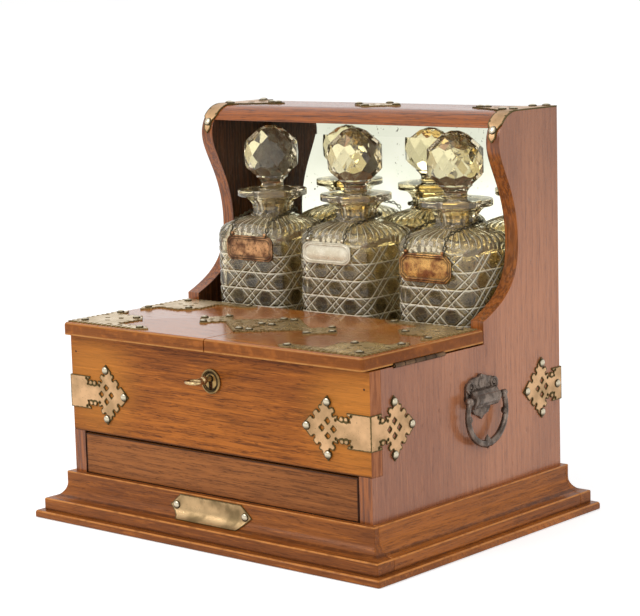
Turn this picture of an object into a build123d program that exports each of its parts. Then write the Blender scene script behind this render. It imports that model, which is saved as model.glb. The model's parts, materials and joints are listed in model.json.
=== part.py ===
"""Three-bottle oak tantalus with brass strapwork.

Three square cut-glass decanters stand in a well behind a lidded front compartment. The hood
over their stoppers and the two lids in front of their shoulders keep them locked in. Below is
a full-width drawer, held shut by a drop pin that only opened lids give access to.

Millimetres. +X is the object's right, -Y its front, +Z up. The origin is the middle of the
base board's underside.
"""
import os
from math import asin, atan, cos, degrees, pi, radians, sin, sqrt, tan

from build123d import *

# ---- Case -------------------------------------------------------------------------------
case_width = 300.0          # over the outer faces of the two side panels
panel_wall = 12.0           # side panels, front panel and drawer front
back_wall = 6.0
floor_wall = 8.0            # case bottom, under the drawer
dust_wall = 6.0             # board between the drawer and the compartments
partition_wall = 7.0
joint_gap = 0.4             # clearance under the closed lids
board_gap = 0.3             # clearance between a sliding piece and its bed

# ---- Base and plinth --------------------------------------------------------------------
base_thickness = 5.5
base_front = 24.2           # how far the base board stands out in front and at the sides
base_back = 19.3
base_round = 2.2
step_out = 18.3             # plinth's foot, front and sides
step_out_back = 14.2
step_top = 15.0
neck_out = 5.2              # plinth's top, front and sides
neck_out_back = 2.9
plinth_top = 35.8
step_round = 1.2

# ---- Lids -------------------------------------------------------------------------------
lid_underside = 144.6
lid_thickness = 9.9
lid_overhang = 7.4
lid_length = 138.4          # front edge to back edge
lid_split = 1.0             # gap between the two lids
lid_round = 2.6
lid_end_round = 3.0
side_top_gap = 1.2          # dark line under each lid's outer edge

# ---- Hood and the shaped front of the side panels ---------------------------------------
hood_thickness = 11.7
hood_gap = 4.1              # between the stoppers and the hood
nose_setback = 23.3         # front of the hood, behind the lids
nose_radius = 22.5
waist_setback = 45.4
waist_height = 214.0
lip_pull = 36.5             # how far each end of the arm's two sweeps holds its direction
waist_pull = 26.0
arm_pull = 40.0
nose_pull = 18.0
lip_angle = 21.7            # slope of the arm where it leaves the lip
hood_strap_width = 13.0
hood_strap_drop = 22.2      # hood's top to the strap's tip on its nose
hood_head_reach = 42.0      # inner edge of the strap to its head's tip
hood_head_setback = 32.5    # head's middle, in front of the back
hood_head_half = 24.0
hood_diamond_setback = 29.5
hood_diamond_half_x = 23.5
hood_diamond_half_y = 20.0
lip_height = 160.1          # where the scroll ends above the lids
lip_gap = 0.7               # behind the lids' back edge

# ---- Drawer -----------------------------------------------------------------------------
drawer_top = 67.2
drawer_gap = 1.6            # dark line above the drawer front
drawer_side_gap = 0.8
drawer_side_wall = 7.0
drawer_back_wall = 8.0
drawer_floor_wall = 4.0
drawer_length = 206.0
drawer_side_drop = 5.0      # drawer sides stand this much lower than its front
pin_radius = 2.0
pin_wall = 2.0              # wood in front of the pin's hole
pin_x = 62.0
pin_travel = 7.0
pin_knob_radius = 4.0
spring_thickness = 0.8
spring_width = 12.0
spring_length = 90.0

# ---- Lid hinges -------------------------------------------------------------------------
hinge_start = 25.8          # behind the case front
hinge_length = 57.6
hinge_pin_radius = 0.8
hinge_play = 0.05
knuckle_radius = 1.6
knuckle_count = 5
knuckle_gap = 0.3
knuckle_relief = 0.35
leaf_thickness = 1.0
leaf_width = 10.0
leaf_gap = 0.2              # between the two folded leaves
hinge_out = 0.6             # hinge axis outside the side panel's face

# ---- Brass ------------------------------------------------------------------------------
brass = 1.0                 # thickness of the sheet brass mounts
stud_radius = 2.3
stud_height = 1.7
stud_rim = 0.3
stud_inset = 4.6            # nail's middle from a mount's tip or edge
strap_height = 100.0        # middle of the corner straps
strap_band = 12.7           # half the band's width
lozenge_half = 23.5         # half-height of a strap's pierced head
head_front = 38.5           # head's middle from the corner, on the front
head_side = 25.0            # the same on the side
head_reach = 24.0           # head's middle to its outer tip
lozenge_root = 11.0         # head's middle to where the neck starts
tail_reach = 21.0           # head's middle to the bottom of the fishtail's notch
tail_clear = 8.0            # least length of band beside the corner
tail_depth = 3.5
notch_radius = 1.7
piercing = 2.4
piercing_spread = 5.4
back_tab = 20.0
mount_inset = 3.0           # lid mounts from the lid's edges
corner_long = 82.0          # corner mount's arm along the front or back edge
corner_short = 60.0         # its arm along the side
corner_arm = 11.0
corner_point = 8.0          # length of each arm's pointed end
corner_leaf = 34.0          # middle of the diagonal leaf from both edges
corner_leaf_half = 13.0
centre_half_x = 44.0        # big diamond over the split
centre_half_y = 37.0
centre_tip_x = 52.0         # small diamond at each of its sides
centre_tip_half_x = 17.0
centre_tip_half_y = 19.0

# ---- Lock, key and escutcheon -----------------------------------------------------------
escutcheon_radius = 9.4
escutcheon_height = 122.0
escutcheon_thickness = 2.0
key_axis = 124.0
key_shank = 2.1
key_hole = 2.5
bit_reach = 6.4
bit_thickness = 2.0
bit_length = 5.0
slot_width = 2.6
slot_reach = 8.2
key_tip = 19.4              # inner end of the key, behind the case front
key_ball_out = 8.6          # ball on the shank, in front of the case
key_ball = 3.2
bow_out = 18.2              # middle of the bow, in front of the case
bow_half_width = 6.5
bow_half_length = 4.5
bow_wire = 1.3
lock_half_width = 24.0
lock_depth = 10.0
lock_bottom = 112.0
lock_top = 142.8
lock_wall = 1.5
bolt_rail_bottom = 131.0
bolt_rail_height = 2.0
bolt_thickness = 2.2
bolt_finger_bottom = 135.6
bolt_finger_height = 3.0
bolt_travel = 4.0
bolt_play = 0.3
staple_x = 7.0              # middle of each link plate from the split
staple_thickness = 2.0
staple_width = 6.0
staple_bottom = 133.7
staple_sweep = 1.5          # room each side of a link plate as its lid swings up
staple_flange = 9.0

# ---- Side handles -----------------------------------------------------------------------
handle_setback = 124.9      # middle of the handle behind the case front
handle_axis_height = 105.5
handle_axis_out = 7.0
handle_half_spacing = 19.0
bail_wire = 2.8
bail_half_width = 23.6
bail_drop = 10.1            # pivots to the middle of the bail's lower half-round
bail_eye = 3.4
bail_pin = 1.3
bail_pin_length = 5.5
bail_play = 0.06
bail_knob = 4.1
shell_crown = 19.0          # the handle plate's outline, from the bail's axis
shell_brow_half = 18.7
shell_brow_rise = 11.2
shell_ear_half = 19.4
shell_ear_rise = 6.5
shell_waist_half = 15.5
shell_waist_drop = 4.5
shell_foot_half = 10.6
shell_foot_drop = 10.0
shell_toe_half = 6.0
shell_toe_drop = 14.3
shell_drop = 16.0
block_half_width = 15.0
block_out = 10.0
plate_out = 3.0

# ---- Mirror and plaque ------------------------------------------------------------------
mirror_thickness = 3.0
mirror_bevel = 13.0
mirror_bevel_depth = 0.9
mirror_margin = 1.5
plaque_half_width = 30.5
plaque_point = 10.5
plaque_bottom = 16.8
plaque_top = 34.4
plaque_thickness = 0.9
plaque_nail_x = 34.5

# ---- Decanters --------------------------------------------------------------------------
decanter_half = 35.5        # half the body's width across the flats
decanter_corner = 14.0
decanter_shoulder = 9.5
decanter_gap = 4.3          # behind the lids and the partition
decanter_back_gap = 13.2    # in front of the mirror
decanter_places = {"left": -89.0, "middle": -1.0, "right": 97.0}
shoulder_slope = 0.31
glass_wall = 5.0
glass_foot = 12.0
glass_inner_top = 133.0
neck_foot = 148.6           # where the neck rises from the shoulder, above the decanter's foot
neck_radius = 17.7
neck_waist_radius = 16.4
waist_rise = 4.9            # foot of the neck to its waist
rim_radius = 28.2
neck_length = 11.0          # waist to the underside of the rim
rim_thickness = 4.5
rim_crown = 2.0
bore_top_radius = 11.0
bore_bottom_radius = 9.6
bore_start = 1.4            # above the foot of the neck
stopper_play = 0.08
plug_lift = 3.0             # above the foot of the bore
ball_radius = 22.4
ball_rise = 27.0            # rim to the middle of the stopper's ball
stopper_stem = 9.0
stopper_cone = 17.2

# ---- Bottle labels ----------------------------------------------------------------------
label_half_width = 24.4
label_thickness = 1.2
label_corner = 5.0
label_off_glass = 0.5
label_lug = 1.4
label_lug_length = 2.4
label_lug_x = 17.3
chain_spread = 18.9         # half the chain's width where it crosses the shoulder
chain_radius = 0.8
chain_play = 0.06
chain_off_glass = 1.1
chain_off_neck = 1.7
chain_rise = 3.9            # above the foot of the neck
# offset from the decanter's middle, lower and upper edge above the decanter's foot
label_places = {"left": (7.0, 115.2, 135.2), "middle": (-0.5, 117.2, 135.2), "right": (-2.0, 110.2, 131.7)}

# ---- Worked out -------------------------------------------------------------------------
lid_reach = lid_length - lid_overhang
case_depth = (
    lid_reach
    + decanter_gap
    + 2 * decanter_half
    + decanter_back_gap
    + mirror_thickness
    + back_wall
)
foot = drawer_top + drawer_gap + dust_wall
neck_waist = neck_foot + waist_rise
rim_under = neck_waist + neck_length
rim_edge = rim_under + rim_thickness
rim_top = rim_edge + rim_crown
bore_bottom = neck_foot + bore_start
plug_bottom = bore_bottom + plug_lift
ball_height = rim_top + ball_rise
case_height = foot + ball_height + ball_radius + hood_gap + hood_thickness
case_half = case_width / 2
inner_half = case_half - panel_wall
base_depth = base_front + case_depth + base_back
front_y = base_front - base_depth / 2
back_y = front_y + case_depth
back_inner = back_y - back_wall
front_inner = front_y + panel_wall
mirror_front = back_inner - mirror_thickness
lid_front = front_y - lid_overhang
lid_back = lid_front + lid_length
lid_top = lid_underside + lid_thickness
carcass_top = lid_underside - joint_gap
side_top = lid_underside - side_top_gap
nose_y = lid_back + nose_setback
nose_centre = (nose_y + nose_radius, case_height - nose_radius)
hood_underside = case_height - hood_thickness
front_panel_bottom = drawer_top + drawer_gap
dust_bottom = front_panel_bottom
dust_top = foot
drawer_half = inner_half - drawer_side_gap
hinge_x = case_half + hinge_out
hinge_z = (side_top + lid_underside) / 2
hinge_y = front_y + hinge_start
decanter_y = lid_back + decanter_gap + decanter_half
pin_y = front_inner + pin_wall + pin_radius
drawer_bottom_z = plinth_top + board_gap
drawer_back_y = front_y + drawer_length

os.makedirs("parts", exist_ok=True)


def save(piece, name):
    """Labels a finished piece and writes it as one STEP file."""
    piece.part.label = name
    export_step(piece.part, f"parts/{name}.step")


# ==== Base board and plinth ==============================================================
with BuildPart() as base_board:
    with BuildSketch(Plane.XY):
        Rectangle(case_width + 2 * base_front, base_depth)
    extrude(amount=base_thickness)
    fillet(base_board.edges().filter_by(Axis.Z), radius=base_round)
    fillet(base_board.faces().sort_by(Axis.Z)[-1].edges(), radius=base_round)
save(base_board, "base_board")


def plinth_outline(side, start, step, neck):
    """Half of the moulding's section: foot, rounded step, cavetto and flat neck."""
    radius = step - step_round - neck
    with BuildLine() as outline:
        Polyline(
            (start, step_top + radius),
            (start, base_thickness),
            (start + side * step, base_thickness),
            (start + side * step, step_top - step_round),
        )
        ThreePointArc(
            (start + side * step, step_top - step_round),
            (start + side * (step - step_round * (1 - sqrt(0.5))), step_top - step_round * (1 - sqrt(0.5))),
            (start + side * (step - step_round), step_top),
        )
        ThreePointArc(
            (start + side * (step - step_round), step_top),
            (start + side * (neck + radius * (1 - sqrt(0.5))), step_top + radius * (1 - sqrt(0.5))),
            (start + side * neck, step_top + radius),
        )
        Polyline(
            (start + side * neck, step_top + radius),
            (start + side * neck, plinth_top),
            (start, plinth_top),
            (start, step_top + radius),
        )
    make_face(outline.edges())


for name, start, side, step, neck in (
    ("plinth_front", front_y, -1, step_out, neck_out),
    ("plinth_back", back_y, 1, step_out_back, neck_out_back),
):
    with BuildPart() as plinth:
        with BuildSketch(Plane.YZ):
            plinth_outline(side, start, step, neck)
        extrude(amount=case_half + step_out, both=True)
        with BuildSketch(Plane.XZ):
            plinth_outline(1, case_half, step_out, neck_out)
            plinth_outline(-1, -case_half, step_out, neck_out)
            with Locations((0, (base_thickness + plinth_top) / 2)):
                Rectangle(case_width, plinth_top - base_thickness)
        extrude(amount=base_depth, both=True, mode=Mode.INTERSECT)
    save(plinth, name)

with BuildPart() as plinth_sides:
    with BuildSketch(Plane.XZ.offset(-back_y)):
        plinth_outline(1, case_half, step_out, neck_out)
        plinth_outline(-1, -case_half, step_out, neck_out)
    extrude(amount=case_depth)
save(plinth_sides, "plinth_sides")


# ==== Carcass ============================================================================
def hinge_leaf(side, bottom):
    """Blank of one hinge leaf on the given side, from its bottom height."""
    with Locations((side * (hinge_x - leaf_width / 2), hinge_y + hinge_length / 2, bottom + leaf_thickness / 2)):
        Box(leaf_width, hinge_length, leaf_thickness)


def hinge_recess(side, bottom):
    """Cuts the seat of one leaf and the relief round the knuckles."""
    with Locations((side * (hinge_x - leaf_width / 2), hinge_y + hinge_length / 2, bottom + leaf_thickness / 2)):
        Box(leaf_width, hinge_length, leaf_thickness, mode=Mode.SUBTRACT)
    with Locations(Location((side * hinge_x, hinge_y + hinge_length / 2, hinge_z), (90, 0, 0))):
        Cylinder(knuckle_radius + knuckle_relief, hinge_length, mode=Mode.SUBTRACT)


case_leaf_bottom = hinge_z - leaf_gap / 2 - leaf_thickness
lid_leaf_bottom = hinge_z + leaf_gap / 2
lip_y = lid_back + lip_gap
waist_y = lid_back + waist_setback
lip_slope = radians(lip_angle)

for hand, side in (("left", -1), ("right", 1)):
    with BuildPart() as side_panel:
        with BuildSketch(Plane.YZ.offset(side * case_half)):
            with BuildLine():
                Polyline(
                    (nose_centre[0], case_height),
                    (back_y, case_height),
                    (back_y, base_thickness),
                    (front_y, base_thickness),
                    (front_y, front_panel_bottom),
                    (front_inner, front_panel_bottom),
                    (front_inner, side_top),
                    (lip_y, side_top),
                    (lip_y, lip_height),
                )
                Bezier(
                    (lip_y, lip_height),
                    (lip_y + lip_pull * cos(lip_slope), lip_height + lip_pull * sin(lip_slope)),
                    (waist_y, waist_height - waist_pull),
                    (waist_y, waist_height),
                )
                Bezier(
                    (waist_y, waist_height),
                    (waist_y, waist_height + arm_pull),
                    (nose_y, nose_centre[1] - nose_pull),
                    (nose_y, nose_centre[1]),
                )
                CenterArc(nose_centre, nose_radius, 180, -90)
            make_face()
        extrude(amount=-side * panel_wall)
        hinge_recess(side, case_leaf_bottom)
    save(side_panel, f"side_panel_{hand}")

with BuildPart() as back_panel:
    with BuildSketch(Plane.XZ.offset(-back_y)):
        with Locations((0, (base_thickness + hood_underside) / 2)):
            Rectangle(2 * inner_half, hood_underside - base_thickness)
    extrude(amount=back_wall)
save(back_panel, "back_panel")

nose_angle = degrees(asin((hood_underside - nose_centre[1]) / nose_radius))
with BuildPart() as top_board:
    with BuildSketch(Plane.YZ):
        with BuildLine():
            CenterArc(nose_centre, nose_radius, 90, 90 - nose_angle)
            Polyline(
                (nose_centre[0] - nose_radius * cos(radians(nose_angle)), hood_underside),
                (back_y, hood_underside),
                (back_y, case_height),
                (nose_centre[0], case_height),
            )
        make_face()
    extrude(amount=inner_half, both=True)
save(top_board, "top_board")

with BuildPart() as case_bottom:
    with BuildSketch(Plane.XY.offset(plinth_top - floor_wall)):
        with Locations((0, (front_y + back_inner) / 2)):
            Rectangle(2 * inner_half, back_inner - front_y)
    extrude(amount=floor_wall)
save(case_bottom, "case_bottom")

with BuildPart() as dust_board:
    with BuildSketch(Plane.XY.offset(dust_bottom)):
        with Locations((0, (front_inner + back_inner) / 2)):
            Rectangle(2 * inner_half, back_inner - front_inner)
        with Locations((pin_x, pin_y)):
            Circle(pin_radius + hinge_play, mode=Mode.SUBTRACT)
    extrude(amount=dust_wall)
save(dust_board, "dust_board")

with BuildPart() as partition:
    with BuildSketch(Plane.XY.offset(dust_top)):
        with Locations((0, lid_back - partition_wall / 2)):
            Rectangle(2 * inner_half, partition_wall)
    extrude(amount=carcass_top - dust_top)
save(partition, "partition")


def keyhole(radius, width):
    """Keyhole outline on the XZ plane: a round for the shank over a slot for the bit."""
    with Locations((0, key_axis)):
        Circle(radius, mode=Mode.SUBTRACT)
    with Locations((0, key_axis - slot_reach / 2)):
        Rectangle(width, slot_reach, mode=Mode.SUBTRACT)


with BuildPart() as front_panel:
    with BuildSketch(Plane.XZ.offset(-front_y)):
        with Locations((0, (front_panel_bottom + carcass_top) / 2)):
            Rectangle(case_width, carcass_top - front_panel_bottom)
        keyhole(key_hole, slot_width)
    extrude(amount=-panel_wall)
    for side in (-1, 1):
        hinge_top_cut = carcass_top - side_top
        with Locations((side * (case_half - panel_wall / 2), front_y + panel_wall / 2, carcass_top)):
            Box(panel_wall, panel_wall, 2 * hinge_top_cut, mode=Mode.SUBTRACT)
save(front_panel, "front_panel")

# ==== Mirror =============================================================================
mirror_half = inner_half - mirror_margin
mirror_bottom = dust_top
mirror_top = hood_underside - mirror_margin
with BuildPart() as mirror_plate:
    with BuildSketch(Plane.XZ.offset(-back_inner)):
        with Locations((0, (mirror_bottom + mirror_top) / 2)):
            Rectangle(2 * mirror_half, mirror_top - mirror_bottom)
    extrude(amount=mirror_thickness)
    front_edges = mirror_plate.faces().sort_by(Axis.Y)[0].edges()
    chamfer(front_edges, length=mirror_bevel_depth, length2=mirror_bevel)
save(mirror_plate, "mirror")

# ==== Lids ===============================================================================
for hand, side in (("left", -1), ("right", 1)):
    with BuildPart() as lid:
        with BuildSketch(Plane.XY.offset(lid_underside)):
            with Locations((side * (lid_split / 2 + case_half) / 2, (lid_front + lid_back) / 2)):
                Rectangle(case_half - lid_split / 2, lid_length)
        extrude(amount=lid_thickness)
        front_corners = lid.edges().filter_by(Axis.Z).group_by(Axis.Y)[0]
        fillet(front_corners.sort_by(Axis.X)[0 if side < 0 else -1], radius=lid_end_round)
        top_edges = lid.faces().sort_by(Axis.Z)[-1].edges()
        fillet(
            [
                edge
                for edge in top_edges
                if abs(edge.center().X) > lid_split and edge.center().Y < lid_back - lid_end_round
            ],
            radius=lid_round,
        )
        hinge_recess(side, lid_leaf_bottom)
    save(lid, f"lid_{hand}")


# ==== Hinges =============================================================================
def knuckles(side, first):
    """Adds every second knuckle of one hinge to the leaf, bored for the pin."""
    pitch = hinge_length / knuckle_count
    for index in range(knuckle_count):
        middle = hinge_y + (index + 0.5) * pitch
        place = Location((side * hinge_x, middle, hinge_z), (90, 0, 0))
        with Locations(place):
            if index % 2 == first:
                Cylinder(knuckle_radius, pitch - knuckle_gap)
            else:
                Cylinder(knuckle_radius + knuckle_relief, pitch + knuckle_gap, mode=Mode.SUBTRACT)
    with Locations(Location((side * hinge_x, hinge_y + hinge_length / 2, hinge_z), (90, 0, 0))):
        Cylinder(hinge_pin_radius + hinge_play, hinge_length, mode=Mode.SUBTRACT)


with BuildPart() as case_leaves:
    for side in (-1, 1):
        hinge_leaf(side, case_leaf_bottom)
        knuckles(side, 0)
save(case_leaves, "hinge_case_leaves")

for hand, side in (("left", -1), ("right", 1)):
    with BuildPart() as lid_leaf:
        hinge_leaf(side, lid_leaf_bottom)
        knuckles(side, 1)
    save(lid_leaf, f"hinge_lid_leaf_{hand}")

with BuildPart() as hinge_pins:
    for side in (-1, 1):
        with Locations(Location((side * hinge_x, hinge_y + hinge_length / 2, hinge_z), (90, 0, 0))):
            Cylinder(hinge_pin_radius, hinge_length)
save(hinge_pins, "hinge_pins")


# ==== Brass mounts =======================================================================
def notches(ends, shares, radius=notch_radius):
    """Cuts half-round notches along one edge of a mount."""
    (x0, y0), (x1, y1) = ends
    for share in shares:
        with Locations((x0 + share * (x1 - x0), y0 + share * (y1 - y0))):
            Circle(radius, mode=Mode.SUBTRACT)


def diamond(x, y, half_x, half_y, mode=Mode.ADD):
    """A diamond with its points along the sketch's axes."""
    with Locations((x, y)):
        Polygon((-half_x, 0), (0, -half_y), (half_x, 0), (0, half_y), mode=mode)


def strap_arm(direction, corner, reach, overlap):
    """One arm of a corner strap: band from the corner, fishtail notches and a pierced head."""
    middle = corner - direction * reach
    tail = min(reach - tail_clear, tail_reach)
    ear = tail - tail_depth
    outline = [
        (corner + direction * overlap, strap_height + strap_band),
        (middle + direction * ear, strap_height + strap_band),
        (middle + direction * tail, strap_height + strap_band / 2),
        (middle + direction * lozenge_root, strap_height + strap_band / 2),
        (middle, strap_height + lozenge_half),
        (middle - direction * head_reach, strap_height),
    ]
    lower = [(x, 2 * strap_height - z) for x, z in reversed(outline[:-1])]
    Polygon(*(outline + lower), align=None)
    top = (middle, strap_height + lozenge_half)
    bottom = (middle, strap_height - lozenge_half)
    tip = (middle - direction * head_reach, strap_height)
    for end in (top, bottom):
        notches((tip, end), (0.38, 0.6))
        inner = (middle + direction * lozenge_root, strap_height + (end[1] - strap_height) * 0.27)
        notches((inner, end), (0.3, 0.62))
    for dx, dz in ((1, 0), (-1, 0), (0, 1), (0, -1)):
        diamond(
            middle + dx * piercing_spread,
            strap_height + dz * piercing_spread,
            piercing,
            piercing,
            Mode.SUBTRACT,
        )


for end, face_y, way in (("front", front_y, -1), ("back", back_y, 1)):
    for hand, side in (("left", -1), ("right", 1)):
        edge = side * (case_half + brass)
        with BuildPart() as strap:
            with BuildSketch(Plane.XZ.offset(-face_y)):
                if end == "front":
                    strap_arm(side, side * case_half, head_front, brass)
                else:
                    with Locations((side * (case_half + brass - back_tab / 2), strap_height)):
                        Rectangle(back_tab, 2 * strap_band)
            extrude(amount=-way * brass)
            with BuildSketch(Plane.YZ.offset(side * case_half)):
                strap_arm(way, face_y, head_side, 0)
            extrude(amount=side * brass)
        save(strap, f"corner_strap_{end}_{hand}")

# ---- Lid mounts: a pierced corner plate at both ends and half of the centre ornament -----
lid_middle = (lid_front + lid_back) / 2


def corner_mount(side, end):
    """Corner plate of a lid; side and end give the way from the corner to its inside."""
    corner_x = -side * (case_half - mount_inset)
    corner_y = (lid_front if end > 0 else lid_back) + end * mount_inset
    leaf_root = 0.8 * corner_leaf_half
    points = [
        (0, 0),
        (corner_long - corner_point, 0),
        (corner_long, corner_arm / 2),
        (corner_long - corner_point, corner_arm),
        (corner_leaf + leaf_root, corner_arm),
        (corner_leaf + corner_leaf_half, corner_leaf),
        (corner_leaf + corner_leaf_half / 2, corner_leaf + corner_leaf_half / 2),
        (corner_leaf, corner_leaf + corner_leaf_half),
        (corner_arm, corner_leaf + leaf_root),
        (corner_arm, corner_short - corner_point),
        (corner_arm / 2, corner_short),
        (0, corner_short - corner_point),
    ]
    Polygon(*[(corner_x + side * x, corner_y + end * y) for x, y in points], align=None)

    def at(x, y):
        return (corner_x + side * x, corner_y + end * y)

    for start, stop in (
        (at(corner_long - corner_point, corner_arm), at(corner_leaf + leaf_root, corner_arm)),
        (at(corner_arm, corner_leaf + leaf_root), at(corner_arm, corner_short - corner_point)),
        (at(corner_leaf + leaf_root, corner_arm), at(corner_leaf + corner_leaf_half, corner_leaf)),
        (at(corner_arm, corner_leaf + leaf_root), at(corner_leaf, corner_leaf + corner_leaf_half)),
    ):
        notches((start, stop), (0.3, 0.7), notch_radius * 0.8)
    for x, y in ((0.76, 0.5), (0.5, 0.76), (0.9, 0.8), (0.8, 0.9)):
        diamond(*at(x * corner_leaf, y * corner_leaf), piercing, piercing * 0.7, Mode.SUBTRACT)
    for share in (0.49, 0.63):
        diamond(*at(share * corner_long, corner_arm / 2), piercing, piercing * 0.7, Mode.SUBTRACT)
    diamond(*at(corner_arm / 2, 0.6 * corner_short), piercing, piercing * 0.7, Mode.SUBTRACT)


def corner_studs(side, end):
    """Where a corner mount is nailed: corner, both arm ends and the diagonal leaf."""
    corner_x = -side * (case_half - mount_inset)
    corner_y = (lid_front if end > 0 else lid_back) + end * mount_inset
    arm = corner_arm / 2
    leaf = corner_leaf + corner_leaf_half / 4
    spots = (
        (2 * stud_inset, 2 * stud_inset),
        (corner_long - 2 * stud_inset, arm),
        (arm, corner_short - 2 * stud_inset),
        (leaf, leaf),
    )
    return [(corner_x + side * x, corner_y + end * y) for x, y in spots]


def centre_mount(side):
    """Half of the centre ornament, cut at the split between the lids."""
    start = lid_split / 2 + 0.4
    rise = centre_half_y * (1 - start / centre_half_x)
    Polygon(
        (side * start, lid_middle - rise),
        (side * centre_half_x, lid_middle),
        (side * start, lid_middle + rise),
        align=None,
    )
    diamond(side * centre_tip_x, lid_middle, centre_tip_half_x, centre_tip_half_y)
    for way in (-1, 1):
        end = (0, lid_middle + way * centre_half_y)
        tip = (side * centre_half_x, lid_middle)
        notches((end, tip), (0.2, 0.38, 0.56))
        outer = (side * (centre_tip_x + centre_tip_half_x), lid_middle)
        ear = (side * centre_tip_x, lid_middle + way * centre_tip_half_y)
        notches((outer, ear), (0.36, 0.62), notch_radius * 0.85)
    for x, y in ((0.2, 0), (0.43, 0.24), (0.43, -0.24), (0.66, 0), (0.3, 0.54), (0.3, -0.54)):
        diamond(
            side * x * centre_half_x,
            lid_middle + y * centre_half_y,
            piercing * 1.3,
            piercing,
            Mode.SUBTRACT,
        )
    for x, y in ((-0.3, 0), (0.24, 0), (0, 0.32), (0, -0.32)):
        diamond(
            side * (centre_tip_x + x * centre_tip_half_x),
            lid_middle + y * centre_tip_half_y,
            piercing * 0.8,
            piercing * 0.8,
            Mode.SUBTRACT,
        )


def centre_studs(side):
    """Nails of one half: three beside the split and three round the tip."""
    edge_x = side * (lid_split / 2 + stud_inset)
    beside = [(edge_x, lid_middle + share * centre_half_y) for share in (-0.68, 0, 0.68)]
    tip_x = side * (centre_tip_x + centre_tip_half_x - stud_inset)
    ear_y = centre_tip_half_y - stud_inset
    round_tip = [(side * centre_tip_x, lid_middle + way * ear_y) for way in (-1, 1)]
    return beside + [(tip_x, lid_middle)] + round_tip


for hand, side in (("left", -1), ("right", 1)):
    with BuildPart() as mounts:
        with BuildSketch(Plane.XY.offset(lid_top)):
            centre_mount(side)
            corner_mount(-side, 1)
            corner_mount(-side, -1)
        extrude(amount=brass)
    save(mounts, f"lid_mounts_{hand}")

with BuildPart() as nail_head:
    with BuildSketch(Plane.XZ):
        with BuildLine():
            Polyline((0, stud_height), (0, 0), (stud_radius, 0), (stud_radius, stud_rim))
            rise = stud_height - stud_rim
            ball = (stud_radius**2 + rise**2) / (2 * rise)
            spread_angle = degrees(asin(stud_radius / ball))
            CenterArc((0, stud_height - ball), ball, 90 - spread_angle, spread_angle)
        make_face()
    revolve(axis=Axis.Z)

for hand, side in (("left", -1), ("right", 1)):
    spots = centre_studs(side) + corner_studs(-side, 1) + corner_studs(-side, -1)
    with BuildPart() as nails:
        with Locations(*[Location((x, y, lid_top + brass)) for x, y in spots]):
            add(nail_head.part)
    save(nails, f"lid_nails_{hand}")

# ---- Hood mounts: a strap over each side of the hood and a diamond in the middle ---------
hood_head_x = case_half - hood_strap_width - hood_head_reach
hood_head_y = back_y - hood_head_setback
hood_strap_tip = case_height - hood_strap_drop
hood_diamond_y = back_y - hood_diamond_setback

hood_straps = {}
for hand, side in (("left", -1), ("right", 1)):
    strap_x = side * (case_half - hood_strap_width / 2)
    inner_x = side * (case_half - hood_strap_width)
    head_ends = (hood_head_y - hood_head_half, hood_head_y + hood_head_half)
    with BuildPart() as hood_strap:
        with BuildSketch(Plane.XY.offset(case_height)):
            with Locations((strap_x, (nose_centre[0] + back_y) / 2)):
                Rectangle(hood_strap_width, back_y - nose_centre[0])
            Polygon(
                (inner_x, head_ends[0]),
                (side * hood_head_x, hood_head_y),
                (inner_x, head_ends[1]),
                align=None,
            )
            for end_y in head_ends:
                notches(((inner_x, end_y), (side * hood_head_x, hood_head_y)), (0.22, 0.44, 0.66))
            for share, spread in ((0.25, 6.5), (0.25, -6.5), (0.45, 0), (0.12, 0)):
                diamond(
                    inner_x + share * (side * hood_head_x - inner_x),
                    hood_head_y + spread,
                    piercing,
                    piercing,
                    Mode.SUBTRACT,
                )
        extrude(amount=brass)
        with BuildSketch(Plane.YZ.offset(side * (case_half - hood_strap_width))):
            with BuildLine():
                CenterArc(nose_centre, nose_radius, 90, 90)
                Line((nose_y, nose_centre[1]), (nose_y - brass, nose_centre[1]))
                CenterArc(nose_centre, nose_radius + brass, 90, 90)
                Line((nose_centre[0], case_height), (nose_centre[0], case_height + brass))
            make_face()
        extrude(amount=side * hood_strap_width)
        shoulder = hood_strap_tip + 14.0
        with BuildSketch(Plane.XZ.offset(-(nose_y - brass))):
            Polygon(
                (inner_x, nose_centre[1] - brass),
                (strap_x, hood_strap_tip),
                (strap_x - side * 3.2, hood_strap_tip + 3.5),
                (strap_x - side * 3.6, shoulder - 4.0),
                (inner_x, shoulder),
                align=None,
            )
            Polygon(
                (side * case_half, nose_centre[1] - brass),
                (strap_x, hood_strap_tip),
                (strap_x + side * 3.2, hood_strap_tip + 3.5),
                (strap_x + side * 3.6, shoulder - 4.0),
                (side * case_half, shoulder),
                align=None,
            )
            Polygon(
                (inner_x, nose_centre[1] - brass),
                (side * case_half, nose_centre[1] - brass),
                (strap_x, hood_strap_tip),
                align=None,
            )
        extrude(amount=-(nose_radius + brass), mode=Mode.SUBTRACT)
    save(hood_strap, f"hood_strap_{hand}")
    hood_straps[hand] = hood_strap.part

with BuildPart() as hood_mount:
    with BuildSketch(Plane.XY.offset(case_height)):
        diamond(0, hood_diamond_y, hood_diamond_half_x, hood_diamond_half_y)
        for way_x in (-1, 1):
            for way_y in (-1, 1):
                tips = (
                    (way_x * hood_diamond_half_x, hood_diamond_y),
                    (0, hood_diamond_y + way_y * hood_diamond_half_y),
                )
                notches(tips, (0.36, 0.64))
        for dx, dy in ((1, 0), (-1, 0), (0, 1), (0, -1)):
            diamond(
                dx * piercing_spread,
                hood_diamond_y + dy * piercing_spread,
                piercing,
                piercing,
                Mode.SUBTRACT,
            )
    extrude(amount=brass)
save(hood_mount, "hood_centre_mount")

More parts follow.
